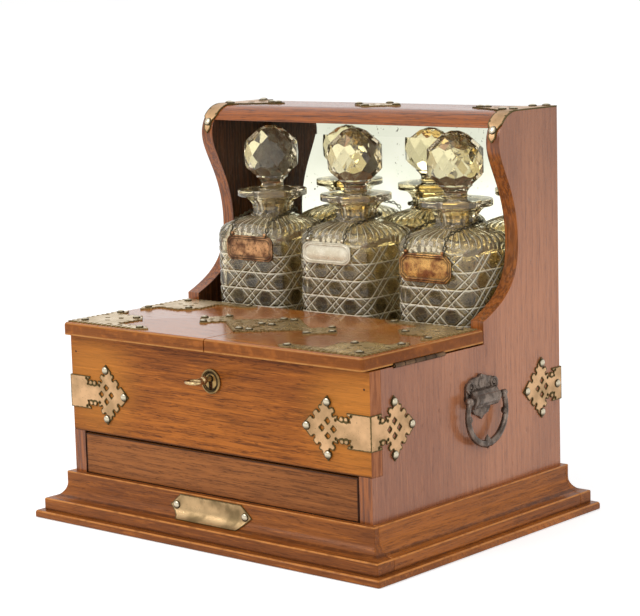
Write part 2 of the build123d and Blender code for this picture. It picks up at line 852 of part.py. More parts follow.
# ---- Plaque in the hollow of the front plinth --------------------------------------------
hollow_radius = step_out - step_round - neck_out
hollow_centre = (front_y - step_out + step_round, step_top + hollow_radius)
with BuildPart() as plaque:
    with BuildSketch(Plane.YZ):
        with Locations(hollow_centre):
            Circle(hollow_radius)
            Circle(hollow_radius - plaque_thickness, mode=Mode.SUBTRACT)
        hollow_reach = hollow_radius + plaque_thickness
        with Locations((hollow_centre[0] - hollow_reach / 2, hollow_centre[1])):
            Rectangle(hollow_reach, 3 * hollow_radius, mode=Mode.SUBTRACT)
        with Locations((hollow_centre[0] + hollow_radius / 2, hollow_centre[1] + hollow_radius / 2)):
            Rectangle(hollow_radius + 1, hollow_radius, mode=Mode.SUBTRACT)
        with Locations((front_y - neck_out - plaque_thickness / 2, (hollow_centre[1] + plaque_top) / 2)):
            Rectangle(plaque_thickness, plaque_top - hollow_centre[1])
    extrude(amount=plaque_half_width + plaque_point, both=True)
    with BuildSketch(Plane.XZ.offset(-front_y)):
        middle = (plaque_bottom + plaque_top) / 2
        Polygon(
            (-plaque_half_width, plaque_bottom),
            (plaque_half_width, plaque_bottom),
            (plaque_half_width + plaque_point, middle),
            (plaque_half_width, plaque_top),
            (-plaque_half_width, plaque_top),
            (-plaque_half_width - plaque_point, middle),
            align=None,
        )
    extrude(amount=step_out, mode=Mode.INTERSECT)
save(plaque, "plaque")

# ---- Nails of everything fixed to the case ------------------------------------------------
tip_nail = head_reach - stud_inset
ear_nail = lozenge_half - stud_inset
lean = 24.0                 # the nose's nail, above its front
with BuildPart() as case_nails:
    for side in (-1, 1):
        face_x = side * (case_half + brass)
        turned = (0, side * 90, 0)
        for end_y, way in ((front_y, -1), (back_y, 1)):
            middle = end_y - way * head_side
            spots = [(middle - way * tip_nail, 0), (middle, ear_nail), (middle, -ear_nail)]
            if way > 0:
                spots.append((end_y - stud_inset, 0))
            with Locations(*[Location((face_x, y, strap_height + z), turned) for y, z in spots]):
                add(nail_head.part)
        middle = side * (case_half - head_front)
        spots = [(middle - side * tip_nail, 0), (middle, ear_nail), (middle, -ear_nail)]
        with Locations(
            *[Location((x, front_y - brass, strap_height + z), (90, 0, 0)) for x, z in spots]
        ):
            add(nail_head.part)
        tab_x = side * (case_half + brass - back_tab + stud_inset)
        with Locations(Location((tab_x, back_y + brass, strap_height), (-90, 0, 0))):
            add(nail_head.part)
        strap_x = side * (case_half - hood_strap_width / 2)
        tip_x = hood_head_x + 1.6 * stud_inset
        root_x = side * (case_half - hood_strap_width)
        spots = [
            (strap_x, nose_centre[0] + stud_inset),
            (strap_x, back_y - stud_inset),
            (side * tip_x, hood_head_y),
            (side * (tip_x + 3 * stud_radius), hood_head_y),
            (root_x, hood_head_y - hood_head_half + stud_inset),
            (root_x, hood_head_y + hood_head_half - stud_inset),
        ]
        with Locations(*[Location((x, y, case_height + brass)) for x, y in spots]):
            add(nail_head.part)
        out = nose_radius + brass - 0.12
        nose_nail = (
            strap_x,
            nose_centre[0] - out * cos(radians(lean)),
            nose_centre[1] + out * sin(radians(lean)),
        )
        with Locations(Location(nose_nail, (90 - lean, 0, 0))):
            add(nail_head.part)
        plaque_nail_y = front_y - neck_out - plaque_thickness
        plaque_nail = (side * plaque_nail_x, plaque_nail_y, (plaque_bottom + plaque_top) / 2)
        with Locations(Location(plaque_nail, (90, 0, 0))):
            add(nail_head.part)
    spots = [
        (hood_diamond_half_x - stud_inset, 0),
        (stud_inset - hood_diamond_half_x, 0),
        (0, hood_diamond_half_y - stud_inset),
        (0, stud_inset - hood_diamond_half_y),
    ]
    with Locations(*[Location((x, hood_diamond_y + y, case_height + brass)) for x, y in spots]):
        add(nail_head.part)
    for hood_part in hood_straps.values():
        add(hood_part, mode=Mode.SUBTRACT)
    add(plaque.part, mode=Mode.SUBTRACT)
save(case_nails, "case_nails")

# ==== Escutcheon, lock and key ============================================================
ring_inner = escutcheon_radius - 2.4
with BuildPart() as escutcheon:
    with BuildSketch(Plane.YZ):
        with BuildLine():
            Polyline(
                (front_y, escutcheon_height + escutcheon_radius - 0.4),
                (front_y, escutcheon_height),
                (front_y - escutcheon_thickness * 0.7, escutcheon_height),
                (front_y - escutcheon_thickness * 0.6, escutcheon_height + ring_inner - 0.8),
                (front_y - escutcheon_thickness * 0.3, escutcheon_height + ring_inner - 0.4),
                (front_y - escutcheon_thickness * 0.6, escutcheon_height + ring_inner),
                (front_y - escutcheon_thickness, escutcheon_height + ring_inner + 0.5),
                (front_y - escutcheon_thickness, escutcheon_height + escutcheon_radius - 0.9),
            )
            ThreePointArc(
                (front_y - escutcheon_thickness, escutcheon_height + escutcheon_radius - 0.9),
                (front_y - escutcheon_thickness * 0.6, escutcheon_height + escutcheon_radius),
                (front_y, escutcheon_height + escutcheon_radius - 0.4),
            )
        make_face()
    revolve(axis=Axis((0, 0, escutcheon_height), (0, 1, 0)))
    with BuildSketch(Plane.XZ.offset(-front_y)):
        with Locations((0, key_axis)):
            Circle(key_hole)
        with Locations((0, key_axis - slot_reach / 2)):
            Rectangle(slot_width, slot_reach)
    extrude(amount=escutcheon_thickness, mode=Mode.SUBTRACT)
save(escutcheon, "escutcheon")

lock_y = front_inner + lock_depth / 2
chamber_depth = lock_depth - 2 * lock_wall
staple_gap_x = staple_x - 0.6       # lids carry the link plates a little inwards as they lift
with BuildPart() as lock_case:
    with Locations((0, lock_y, (lock_bottom + lock_top) / 2)):
        Box(2 * lock_half_width, lock_depth, lock_top - lock_bottom)
    chamber_bottom = bolt_rail_bottom - bolt_play
    with Locations((0, lock_y, (chamber_bottom + lock_top - lock_wall) / 2)):
        Box(
            2 * (lock_half_width - lock_wall),
            chamber_depth,
            lock_top - lock_wall - chamber_bottom,
            mode=Mode.SUBTRACT,
        )
    with Locations(Location((0, lock_y, key_axis), (90, 0, 0))):
        Cylinder(bit_reach + 0.8, chamber_depth, mode=Mode.SUBTRACT)
    with BuildSketch(Plane.XZ.offset(-front_inner)):
        with Locations((0, key_axis)):
            Circle(key_hole)
        with Locations((0, key_axis - slot_reach / 2)):
            Rectangle(slot_width, slot_reach)
    extrude(amount=-lock_wall, mode=Mode.SUBTRACT)
    for side in (-1, 1):
        with Locations((side * staple_gap_x, lock_y, lock_top)):
            Box(staple_thickness + 2 * staple_sweep, chamber_depth, 3 * lock_wall, mode=Mode.SUBTRACT)
save(lock_case, "lock_case")

finger_top = bolt_finger_bottom + bolt_finger_height
finger_tips = (-(staple_x + 2.0), 4.4)
with BuildPart() as lock_bolt:
    rail_left = finger_tips[0] - 11.0
    with BuildSketch(Plane.XZ.offset(-(lock_y - bolt_thickness / 2))):
        Polygon(
            (rail_left, bolt_rail_bottom),
            (finger_tips[1] - 3.4, bolt_rail_bottom),
            (finger_tips[1] - 3.4, bolt_finger_bottom),
            (finger_tips[1], bolt_finger_bottom),
            (finger_tips[1], finger_top),
            (finger_tips[1] - 7.4, finger_top),
            (finger_tips[1] - 7.4, bolt_rail_bottom + bolt_rail_height),
            (finger_tips[0] - 7.0, bolt_rail_bottom + bolt_rail_height),
            (finger_tips[0] - 7.0, bolt_finger_bottom),
            (finger_tips[0], bolt_finger_bottom),
            (finger_tips[0], finger_top),
            (rail_left, finger_top),
            align=None,
        )
    extrude(amount=-bolt_thickness)
save(lock_bolt, "lock_bolt")

for hand, side in (("left", -1), ("right", 1)):
    with BuildPart() as link_plate:
        with Locations((side * staple_x, lock_y, (staple_bottom + lid_underside) / 2)):
            Box(staple_thickness, staple_width, lid_underside - staple_bottom)
        with Locations((side * (staple_x + 1.5), lock_y, lid_underside - brass / 2)):
            Box(staple_flange, chamber_depth, brass)
        window_bottom = bolt_finger_bottom - 0.6
        window_height = bolt_finger_height + 1.2
        with Locations((side * staple_x, lock_y, window_bottom + window_height / 2)):
            Box(2 * staple_thickness, bolt_thickness + 0.8, window_height, mode=Mode.SUBTRACT)
    save(link_plate, f"link_plate_{hand}")

with BuildPart() as key:
    bow_end = bow_out - bow_half_length
    shank_length = key_tip + bow_end + bow_wire / 2
    with Locations(Location((0, front_y + key_tip - shank_length / 2, key_axis), (90, 0, 0))):
        Cylinder(key_shank, shank_length)
    with Locations((0, front_y - key_ball_out, key_axis)):
        Sphere(key_ball)
    with Locations((-(bit_reach - 1) / 2 - 1, front_y + key_tip - bit_length / 2, key_axis)):
        Box(bit_reach - 1, bit_length, bit_thickness)
    with BuildLine(Plane((0, front_y - bow_out, key_axis))) as bow_path:
        bow_arc = bow_half_length
        bow_flat = bow_half_width - bow_half_length
        Line((-bow_flat, bow_arc), (bow_flat, bow_arc))
        CenterArc((bow_flat, 0), bow_arc, 90, -180)
        Line((bow_flat, -bow_arc), (-bow_flat, -bow_arc))
        CenterArc((-bow_flat, 0), bow_arc, -90, -180)
    with BuildSketch(Plane((0, front_y - bow_end, key_axis), x_dir=(0, 1, 0), z_dir=(1, 0, 0))):
        Circle(bow_wire)
    sweep(path=bow_path.line)
save(key, "key")

# ==== Side handles ========================================================================
handle_y = front_y + handle_setback
for hand, side in (("left", -1), ("right", 1)):
    axis_x = side * (case_half + handle_axis_out)
    pivot_ends = (
        (handle_y - handle_half_spacing, 1),
        (handle_y + handle_half_spacing, -1),
    )
    with BuildPart() as handle_plate:
        with BuildSketch(Plane.YZ.offset(side * case_half)):
            with BuildLine():
                Polyline(
                    (handle_y + shell_brow_half, handle_axis_height + shell_brow_rise),
                    (handle_y + shell_ear_half, handle_axis_height + shell_ear_rise),
                    (handle_y + shell_waist_half, handle_axis_height - shell_waist_drop),
                    (handle_y + shell_foot_half, handle_axis_height - shell_foot_drop),
                )
                ThreePointArc(
                    (handle_y + shell_foot_half, handle_axis_height - shell_foot_drop),
                    (handle_y + shell_toe_half, handle_axis_height - shell_toe_drop),
                    (handle_y, handle_axis_height - shell_drop),
                )
                ThreePointArc(
                    (handle_y, handle_axis_height - shell_drop),
                    (handle_y - shell_toe_half, handle_axis_height - shell_toe_drop),
                    (handle_y - shell_foot_half, handle_axis_height - shell_foot_drop),
                )
                Polyline(
                    (handle_y - shell_foot_half, handle_axis_height - shell_foot_drop),
                    (handle_y - shell_waist_half, handle_axis_height - shell_waist_drop),
                    (handle_y - shell_ear_half, handle_axis_height + shell_ear_rise),
                    (handle_y - shell_brow_half, handle_axis_height + shell_brow_rise),
                )
                ThreePointArc(
                    (handle_y - shell_brow_half, handle_axis_height + shell_brow_rise),
                    (handle_y, handle_axis_height + shell_crown),
                    (handle_y + shell_brow_half, handle_axis_height + shell_brow_rise),
                )
            make_face()
        extrude(amount=side * plate_out)
        with BuildSketch(Plane.XZ.offset(-(handle_y + block_half_width))):
            Polygon(
                (side * case_half, handle_axis_height + 6.5),
                (side * (case_half + block_out - 2.6), handle_axis_height + 6.5),
                (side * (case_half + block_out - 1.0), handle_axis_height + 5.0),
                (side * (case_half + block_out - 1.4), handle_axis_height + 3.8),
                (side * (case_half + block_out), handle_axis_height + 2.8),
                (side * (case_half + block_out), handle_axis_height - 2.8),
                (side * (case_half + block_out - 1.4), handle_axis_height - 3.8),
                (side * (case_half + block_out - 3.0), handle_axis_height - 5.0),
                (side * (case_half + plate_out), handle_axis_height - 7.5),
                (side * case_half, handle_axis_height - 7.5),
                align=None,
            )
        extrude(amount=2 * block_half_width)
        for pivot_y, inward in pivot_ends:
            hole_y = handle_y - inward * (block_half_width - bail_pin_length / 2)
            with Locations(Location((axis_x, hole_y, handle_axis_height), (90, 0, 0))):
                Cylinder(bail_pin + bail_play, bail_pin_length, mode=Mode.SUBTRACT)
    save(handle_plate, f"handle_plate_{hand}")

    inset = bail_half_width - handle_half_spacing
    upper_radius = (inset**2 + bail_drop**2) / (2 * inset)
    sweep_angle = degrees(asin(bail_drop / upper_radius))
    arc_z = handle_axis_height - bail_drop
    with BuildPart() as handle_bail:
        with BuildLine(Plane.YZ.offset(axis_x)) as bail_path:
            CenterArc((handle_y + bail_half_width - upper_radius, arc_z), upper_radius, sweep_angle, -sweep_angle)
            CenterArc((handle_y, arc_z), bail_half_width, 0, -180)
            CenterArc((handle_y - bail_half_width + upper_radius, arc_z), upper_radius, 180, -sweep_angle)
        with BuildSketch(Plane(bail_path.line @ 0, z_dir=bail_path.line % 0)):
            Circle(bail_wire)
        sweep(path=bail_path.line)
        for pivot_y, inward in pivot_ends:
            with Locations((axis_x, pivot_y, handle_axis_height)):
                Sphere(bail_eye)
            pin_end = handle_y - inward * (block_half_width - bail_pin_length + 0.4)
            with Locations(Location((axis_x, (pivot_y + pin_end) / 2, handle_axis_height), (90, 0, 0))):
                Cylinder(bail_pin, abs(pivot_y - pin_end))
        knob_z = arc_z - bail_half_width
        with Locations((axis_x, handle_y, knob_z)):
            Sphere(bail_knob)
        for step in (-1, 1):
            with Locations(Location((axis_x, handle_y + step * 5.2, knob_z + 0.5), (90, 0, 0))):
                Cylinder(bail_wire + 0.8, 1.8)
    save(handle_bail, f"handle_bail_{hand}")

# ==== Drawer ==============================================================================
drawer_side_top = drawer_top - drawer_side_drop
drawer_inner_half = drawer_half - drawer_side_wall
with BuildPart() as drawer_front:
    with BuildSketch(Plane.XZ.offset(-front_y)):
        with Locations((0, (drawer_bottom_z + drawer_top) / 2)):
            Rectangle(2 * drawer_half, drawer_top - drawer_bottom_z)
    extrude(amount=-panel_wall)
save(drawer_front, "drawer_front")

with BuildPart() as drawer_sides:
    for side in (-1, 1):
        with Locations(
            (
                side * (drawer_half - drawer_side_wall / 2),
                (front_inner + drawer_back_y) / 2,
                (drawer_bottom_z + drawer_side_top) / 2,
            )
        ):
            Box(drawer_side_wall, drawer_back_y - front_inner, drawer_side_top - drawer_bottom_z)
save(drawer_sides, "drawer_sides")

with BuildPart() as drawer_back:
    with Locations((0, drawer_back_y - drawer_back_wall / 2, (drawer_bottom_z + drawer_side_top) / 2)):
        Box(2 * drawer_inner_half, drawer_back_wall, drawer_side_top - drawer_bottom_z)
save(drawer_back, "drawer_back")

with BuildPart() as drawer_floor:
    floor_length = drawer_back_y - drawer_back_wall - front_inner
    with Locations((0, front_inner + floor_length / 2, drawer_bottom_z + drawer_floor_wall / 2)):
        Box(2 * drawer_inner_half, floor_length, drawer_floor_wall)
save(drawer_floor, "drawer_bottom")

with BuildPart() as drawer_pin:
    pin_bottom = dust_bottom + board_gap
    knob_bottom = dust_top + pin_travel + board_gap
    with Locations((pin_x, pin_y, (pin_bottom + knob_bottom) / 2)):
        Cylinder(pin_radius, knob_bottom - pin_bottom)
    with Locations((pin_x, pin_y, knob_bottom + 1.0)):
        Cylinder(pin_knob_radius, 2.0)
    with Locations((pin_x, pin_y, knob_bottom + 3.2)):
        Sphere(2.6)
save(drawer_pin, "drawer_pin")

with BuildPart() as drawer_spring:
    spring_z = (drawer_bottom_z + drawer_side_top) / 2
    spring_back = back_inner - spring_thickness / 2
    spring_crown = drawer_back_y + 1.0 + spring_thickness / 2
    with BuildSketch(Plane.XY.offset(spring_z - spring_width / 2)):
        with BuildLine() as spring_line:
            Line((-spring_length / 2 - 8, spring_back), (-spring_length / 2, spring_back))
            ThreePointArc(
                (-spring_length / 2, spring_back),
                (0, spring_crown),
                (spring_length / 2, spring_back),
            )
            Line((spring_length / 2, spring_back), (spring_length / 2 + 8, spring_back))
        trace(line_width=spring_thickness)
    extrude(amount=spring_width)
save(drawer_spring, "drawer_spring")

# ==== Decanters ===========================================================================
chain_neck_radius = neck_radius + chain_off_neck
bore_slope = (bore_top_radius - bore_bottom_radius) / (rim_top - bore_bottom)
plug_bottom_radius = bore_bottom_radius + bore_slope * (plug_bottom - bore_bottom) - stopper_play
plug_top_radius = bore_top_radius - stopper_play
shoulder_edge = neck_foot - shoulder_slope * (2 * decanter_half - neck_radius)
shoulder_tilt = atan(shoulder_slope)
turn_y = decanter_half - decanter_shoulder
turn_z = (
    neck_foot
    - shoulder_slope * (decanter_half - neck_radius)
    - decanter_shoulder * tan((pi / 2 - shoulder_tilt) / 2)
)
turn_reach = decanter_shoulder + chain_radius + chain_off_glass
over_edge = [
    (turn_y + turn_reach * cos(angle), turn_z + turn_reach * sin(angle))
    for angle in (radians(35), pi / 2 - shoulder_tilt)
]

for name, decanter_x in decanter_places.items():
    stand = Plane((decanter_x, decanter_y, foot), x_dir=(1, 0, 0), z_dir=(0, 0, 1))
    section = Plane((decanter_x, decanter_y, foot), x_dir=(1, 0, 0), z_dir=(0, -1, 0))
    axis = Axis((decanter_x, decanter_y, 0), (0, 0, 1))
    with BuildPart() as decanter:
        with BuildSketch(stand):
            RectangleRounded(2 * decanter_half, 2 * decanter_half, decanter_corner)
        extrude(amount=neck_foot)
        with BuildSketch(section):
            Polygon(
                (0, 0),
                (2 * decanter_half, 0),
                (2 * decanter_half, shoulder_edge),
                (neck_radius, neck_foot),
                (0, neck_foot),
                align=None,
            )
        revolve(axis=axis, mode=Mode.INTERSECT)
        shoulder_loop = [
            edge
            for edge in decanter.edges()
            if edge.center().Z > foot + glass_inner_top
            and max(abs(edge.center().X - decanter_x), abs(edge.center().Y - decanter_y)) > rim_radius - 2
        ]
        fillet(shoulder_loop, radius=decanter_shoulder)
        fillet(decanter.faces().sort_by(Axis.Z)[0].edges(), radius=2.0)
        with BuildSketch(section):
            with BuildLine():
                Polyline((0, neck_foot), (neck_radius, neck_foot), (neck_waist_radius, neck_waist))
                Spline(
                    (neck_waist_radius, neck_waist),
                    (neck_radius + 0.6, neck_waist + neck_length / 2),
                    (rim_radius - 3.0, rim_under),
                    tangents=((0, 1), (1, 0.25)),
                )
                Polyline(
                    (rim_radius - 3.0, rim_under),
                    (rim_radius - 0.8, rim_under + 0.3),
                    (rim_radius, rim_under + 1.2),
                    (rim_radius, rim_edge - 0.6),
                    (rim_radius - 1.0, rim_edge),
                    (rim_radius - 9.0, rim_top),
                    (0, rim_top),
                    (0, neck_foot),
                )
            make_face()
        revolve(axis=axis)
        with BuildSketch(stand.offset(glass_foot)):
            RectangleRounded(
                2 * (decanter_half - glass_wall),
                2 * (decanter_half - glass_wall),
                decanter_corner - glass_wall,
            )
        extrude(amount=glass_inner_top - glass_foot, mode=Mode.SUBTRACT)
        with BuildSketch(section):
            Polygon(
                (0, glass_inner_top),
                (bore_bottom_radius, glass_inner_top),
                (bore_bottom_radius, bore_bottom),
                (bore_top_radius, rim_top),
                (0, rim_top),
                align=None,
            )
        revolve(axis=axis, mode=Mode.SUBTRACT)
    save(decanter, f"decanter_{name}")

    with BuildPart() as stopper:
        with BuildSketch(section):
            cone_top = ball_height - sqrt(ball_radius**2 - stopper_cone**2)
            Polygon(
                (0, plug_bottom),
                (plug_bottom_radius, plug_bottom),
                (plug_top_radius, rim_top),
                (stopper_stem, rim_top + 0.6),
                (stopper_stem, rim_top + 2.4),
                (stopper_cone, cone_top),
                (0, cone_top),
                align=None,
            )
        revolve(axis=axis)
        with Locations((decanter_x, decanter_y, foot + ball_height)):
            Sphere(ball_radius)
    save(stopper, f"stopper_{name}")

    label_offset, label_low, label_high = label_places[name]
    label_x = decanter_x + label_offset
    label_back = decanter_y - decanter_half - label_off_glass
    lug_y = label_back - label_lug
    lug_z = foot + label_high + label_lug
    with BuildPart() as label:
        with BuildSketch(Plane.XZ.offset(-label_back)):
            with Locations((label_x, foot + (label_low + label_high) / 2)):
                Rectangle(2 * label_half_width, label_high - label_low)
        extrude(amount=label_thickness)
        corners = label.edges().filter_by(Axis.Y)
        if name == "middle":
            fillet(corners, radius=label_corner * 0.6)
        else:
            chamfer(corners, length=label_corner)
        for side in (-1, 1):
            with BuildSketch(Plane.YZ.offset(label_x + side * label_lug_x)):
                with Locations((lug_y, lug_z)):
                    Circle(label_lug)
                with Locations((label_back - label_thickness / 2, lug_z - label_lug)):
                    Rectangle(label_thickness, 2 * label_lug)
                with Locations((lug_y, lug_z)):
                    Circle(chain_radius + chain_play, mode=Mode.SUBTRACT)
            extrude(amount=label_lug_length / 2, both=True)
    save(label, f"label_{name}")

    with BuildPart() as chain:
        neck_z = foot + neck_foot + chain_rise
        for side in (-1, 1):
            down_x = label_x + side * (label_lug_x + label_lug_length / 2 + chain_radius + 0.4)
            shoulder_x = decanter_x + 0.75 * label_offset + side * chain_spread
            route = [
                (label_x + side * (label_lug_x - label_lug_length / 2 - 0.4), lug_y, lug_z),
                (down_x, lug_y, lug_z),
                (down_x, decanter_y - over_edge[0][0], foot + over_edge[0][1]),
                (shoulder_x, decanter_y - over_edge[1][0], foot + over_edge[1][1]),
                (decanter_x + side * chain_neck_radius, decanter_y, neck_z),
            ]
            for start, stop in zip(route, route[1:]):
                run = Vector(stop) - Vector(start)
                link = Plane(start, z_dir=run)
                with BuildSketch(link):
                    Circle(chain_radius)
                extrude(amount=run.length)
                with Locations(stop):
                    Sphere(chain_radius)
        with BuildSketch(Plane((decanter_x + chain_neck_radius, decanter_y, neck_z), z_dir=(0, 1, 0))):
            Circle(chain_radius)
        revolve(axis=axis, revolution_arc=180)
    save(chain, f"chain_{name}")
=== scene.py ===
"""A Victorian oak tantalus with three cut-glass decanters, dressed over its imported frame."""

import json
import math

import bmesh
import bpy
import numpy as np
from mathutils import Matrix, Vector, kdtree


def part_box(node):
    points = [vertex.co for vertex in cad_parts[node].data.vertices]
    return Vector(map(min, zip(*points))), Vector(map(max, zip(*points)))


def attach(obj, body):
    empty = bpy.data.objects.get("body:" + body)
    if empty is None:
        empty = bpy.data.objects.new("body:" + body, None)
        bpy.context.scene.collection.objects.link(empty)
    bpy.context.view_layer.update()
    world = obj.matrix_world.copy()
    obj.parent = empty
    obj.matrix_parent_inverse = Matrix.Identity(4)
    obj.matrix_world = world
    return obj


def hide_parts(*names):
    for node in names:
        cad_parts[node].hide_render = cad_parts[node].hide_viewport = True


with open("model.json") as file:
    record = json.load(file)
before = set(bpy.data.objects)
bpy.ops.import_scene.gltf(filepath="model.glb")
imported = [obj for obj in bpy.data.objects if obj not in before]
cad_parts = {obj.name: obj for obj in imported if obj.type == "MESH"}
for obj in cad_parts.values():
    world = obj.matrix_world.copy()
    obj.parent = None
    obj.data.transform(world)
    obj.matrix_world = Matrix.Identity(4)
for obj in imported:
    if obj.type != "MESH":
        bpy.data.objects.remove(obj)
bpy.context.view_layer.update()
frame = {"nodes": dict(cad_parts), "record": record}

# ---- Camera ------------------------------------------------------------------------------
# A long lens stands off the right-hand front corner, a little above the lids, and looks
# slightly down with a small lean.
camera_place = (1.0707, -1.2234, 0.4101)
camera_azimuth = math.radians(40.93)
camera_height = math.radians(8.71)
camera_lean = math.radians(-1.56)
focal_length = 120.47
film_width = 36.0


def placed(name, data):
    """A new object in the scene."""
    made = bpy.data.objects.new(name, data)
    bpy.context.scene.collection.objects.link(made)
    return made


lens = bpy.data.cameras.new("camera")
lens.lens = focal_length
lens.sensor_width = film_width
lens.sensor_fit = "HORIZONTAL"
camera = placed("camera", lens)
camera.matrix_world = (
    Matrix.Translation(camera_place)
    @ Matrix.Rotation(camera_azimuth, 4, "Z")
    @ Matrix.Rotation(math.pi / 2 - camera_height, 4, "X")
    @ Matrix.Rotation(camera_lean, 4, "Z")
)
bpy.context.scene.camera = camera
bpy.context.scene.view_settings.view_transform = "Standard"


# ---- Studio ------------------------------------------------------------------------------
# A pale sweep of paper, one large soft lamp at the front left, a weaker one at the right and
# the light of the room.
def wire(made, inputs):
    """Fill a node's inputs: a value is set, and another node's socket is wired to it."""
    for name, value in inputs.items():
        if isinstance(value, bpy.types.NodeSocket):
            made.id_data.links.new(value, made.inputs[name])
        else:
            made.inputs[name].default_value = value
    return made


def node(tree, kind, inputs=None, **settings):
    """A new node with its settings and inputs."""
    made = tree.nodes.new(kind)
    for name, value in settings.items():
        setattr(made, name, value)
    return wire(made, inputs or {})


def blank(owner):
    """The emptied tree of a new material or world."""
    owner.use_nodes = True
    owner.node_tree.nodes.clear()
    return owner.node_tree


def tone(red, green, blue):
    """A colour given in screen values, 0 to 255, as the light it stands for."""
    parts = [value / 255 for value in (red, green, blue)]
    lit = [part / 12.92 if part <= 0.04045 else ((part + 0.055) / 1.055) ** 2.4 for part in parts]
    return (*lit, 1.0)


def maths(operation, first, second=0.0, third=0.0, clamp=False):
    """One step of arithmetic on a socket."""
    parts = {0: first, 1: second, 2: third}
    return node(first.id_data, "ShaderNodeMath", parts, operation=operation, use_clamp=clamp).outputs[0]


def times(first, second):
    """A product."""
    return maths("MULTIPLY", first, second)


def line(value, factor, start):
    """A value scaled and added to a start."""
    return maths("MULTIPLY_ADD", value, factor, start)


def seen_by_lens(tree):
    """1 where the lens looks, directly, in a polished face or through glass."""
    path = node(tree, "ShaderNodeLightPath").outputs
    seen = maths("MAXIMUM", path["Is Camera Ray"], path["Is Glossy Ray"])
    return maths("MAXIMUM", seen, path["Is Transmission Ray"])


room_light = 0.62
lamp_size = 1.5
lamps = (("key_lamp", 26.0, (-0.95, -1.75, 1.75)), ("fill_lamp", 11.0, (1.9, -0.6, 1.1)))
lit_spot = Vector((0, 0, 0.12))
paper_shade = (0.86, 0.86, 0.86, 1.0)
paper_lift = 0.5
paper_reach = 40.0
paper_drop = 0.0004
white = (1, 1, 1, 1)

room = bpy.data.worlds.new("room")
bpy.context.scene.world = room
tree = blank(room)
strength = line(seen_by_lens(tree), 1.0 - room_light, room_light)
glow = node(tree, "ShaderNodeBackground", {"Color": white, "Strength": strength})
node(tree, "ShaderNodeOutputWorld", {"Surface": glow.outputs[0]})

for name, power, place in lamps:
    lamp = bpy.data.lights.new(name, "AREA")
    lamp.energy = power
    lamp.size = lamp_size
    hung = placed(name, lamp)
    hung.location = place
    hung.rotation_euler = (lit_spot - Vector(place)).to_track_quat("-Z", "Y").to_euler()

paper = bpy.data.materials.new("paper")
tree = blank(paper)
matt = node(tree, "ShaderNodeBsdfDiffuse", {"Color": paper_shade})
lift = times(seen_by_lens(tree), paper_lift)
shine = node(tree, "ShaderNodeEmission", {"Color": white, "Strength": lift})
both = node(tree, "ShaderNodeAddShader", {0: matt.outputs[0], 1: shine.outputs[0]})
node(tree, "ShaderNodeOutputMaterial", {"Surface": both.outputs[0]})

sheet = bpy.data.meshes.new("paper_sheet")
ways = ((-1, -1), (1, -1), (1, 1), (-1, 1))
corners = [(x * paper_reach, y * paper_reach, -paper_drop) for x, y in ways]
sheet.from_pydata(corners, [], [(0, 1, 2, 3)])
sheet.materials.append(paper)
placed("paper_sheet", sheet)


# ---- Plinth ------------------------------------------------------------------------------
# A low oak board with a rounded edge carries an ogee moulding mitred round the case.
# All of it is brown French-polished oak, painted darker in its hollows as painted shade, and
# paler along its corners, worn by use and carrying a painted highlight.
def finish_of(name):
    """A new material with one shader: the material, the shader and the position on the piece."""
    made = bpy.data.materials.new(name)
    tree = blank(made)
    shader = node(tree, "ShaderNodeBsdfPrincipled")
    node(tree, "ShaderNodeOutputMaterial", {"Surface": shader.outputs[0]})
    return made, shader, node(tree, "ShaderNodeTexCoord").outputs["Object"]


def stretched(place, factors=(1, 1, 1), shift=(0, 0, 0)):
    """The position, scaled along each axis and moved."""
    ways = {"Vector": place, "Scale": factors, "Location": shift}
    return node(place.id_data, "ShaderNodeMapping", ways).outputs[0]


def part_of(vector, axis):
    """One coordinate of a position or a direction."""
    return node(vector.id_data, "ShaderNodeSeparateXYZ", {"Vector": vector}).outputs[axis]


def facing_of(place, axis):
    """How squarely the surface faces along an axis of the piece."""
    return part_of(node(place.id_data, "ShaderNodeTexCoord").outputs["Normal"], axis)


def mark_of(place, name):
    """A value kept at the piece's own points."""
    return node(place.id_data, "ShaderNodeAttribute", attribute_name=name).outputs["Fac"]


def cloud(place, scale, detail=3.0, roughness=0.5, distortion=0.0):
    """A noise value, about 0.5 all over."""
    looks = {"Scale": scale, "Detail": detail, "Roughness": roughness, "Distortion": distortion}
    return node(place.id_data, "ShaderNodeTexNoise", {"Vector": place, **looks}).outputs[0]


def between(value, low, high, to_low=0.0, to_high=1.0):
    """The value eased from one range into another and held at its ends."""
    ends = {"Value": value, "From Min": low, "From Max": high, "To Min": to_low, "To Max": to_high}
    return node(value.id_data, "ShaderNodeMapRange", ends, interpolation_type="SMOOTHSTEP").outputs[0]


def tinted(share, under, over):
    """Two colours laid over each other by a share."""
    layers = {0: share, 6: under, 7: over}
    return node(share.id_data, "ShaderNodeMix", layers, data_type="RGBA").outputs[2]


def vector_maths(operation, place, other):
    """One value from two vectors, such as how far apart they are."""
    made = node(place.id_data, "ShaderNodeVectorMath", {0: place, 1: other}, operation=operation)
    return made.outputs["Value"]


def raised(shader, height, depth):
    """Relief of a given depth in metres under the finish."""
    bump = node(shader.id_data, "ShaderNodeBump", {"Height": height, "Distance": depth, "Strength": 1.0})
    wire(shader, {"Normal": bump.outputs[0]})


grain_across = {"X": (0.0, 0.55, 1.0), "Y": (0.55, 0.0, 1.0), "Z": (1.0, 1.0, 0.0)}


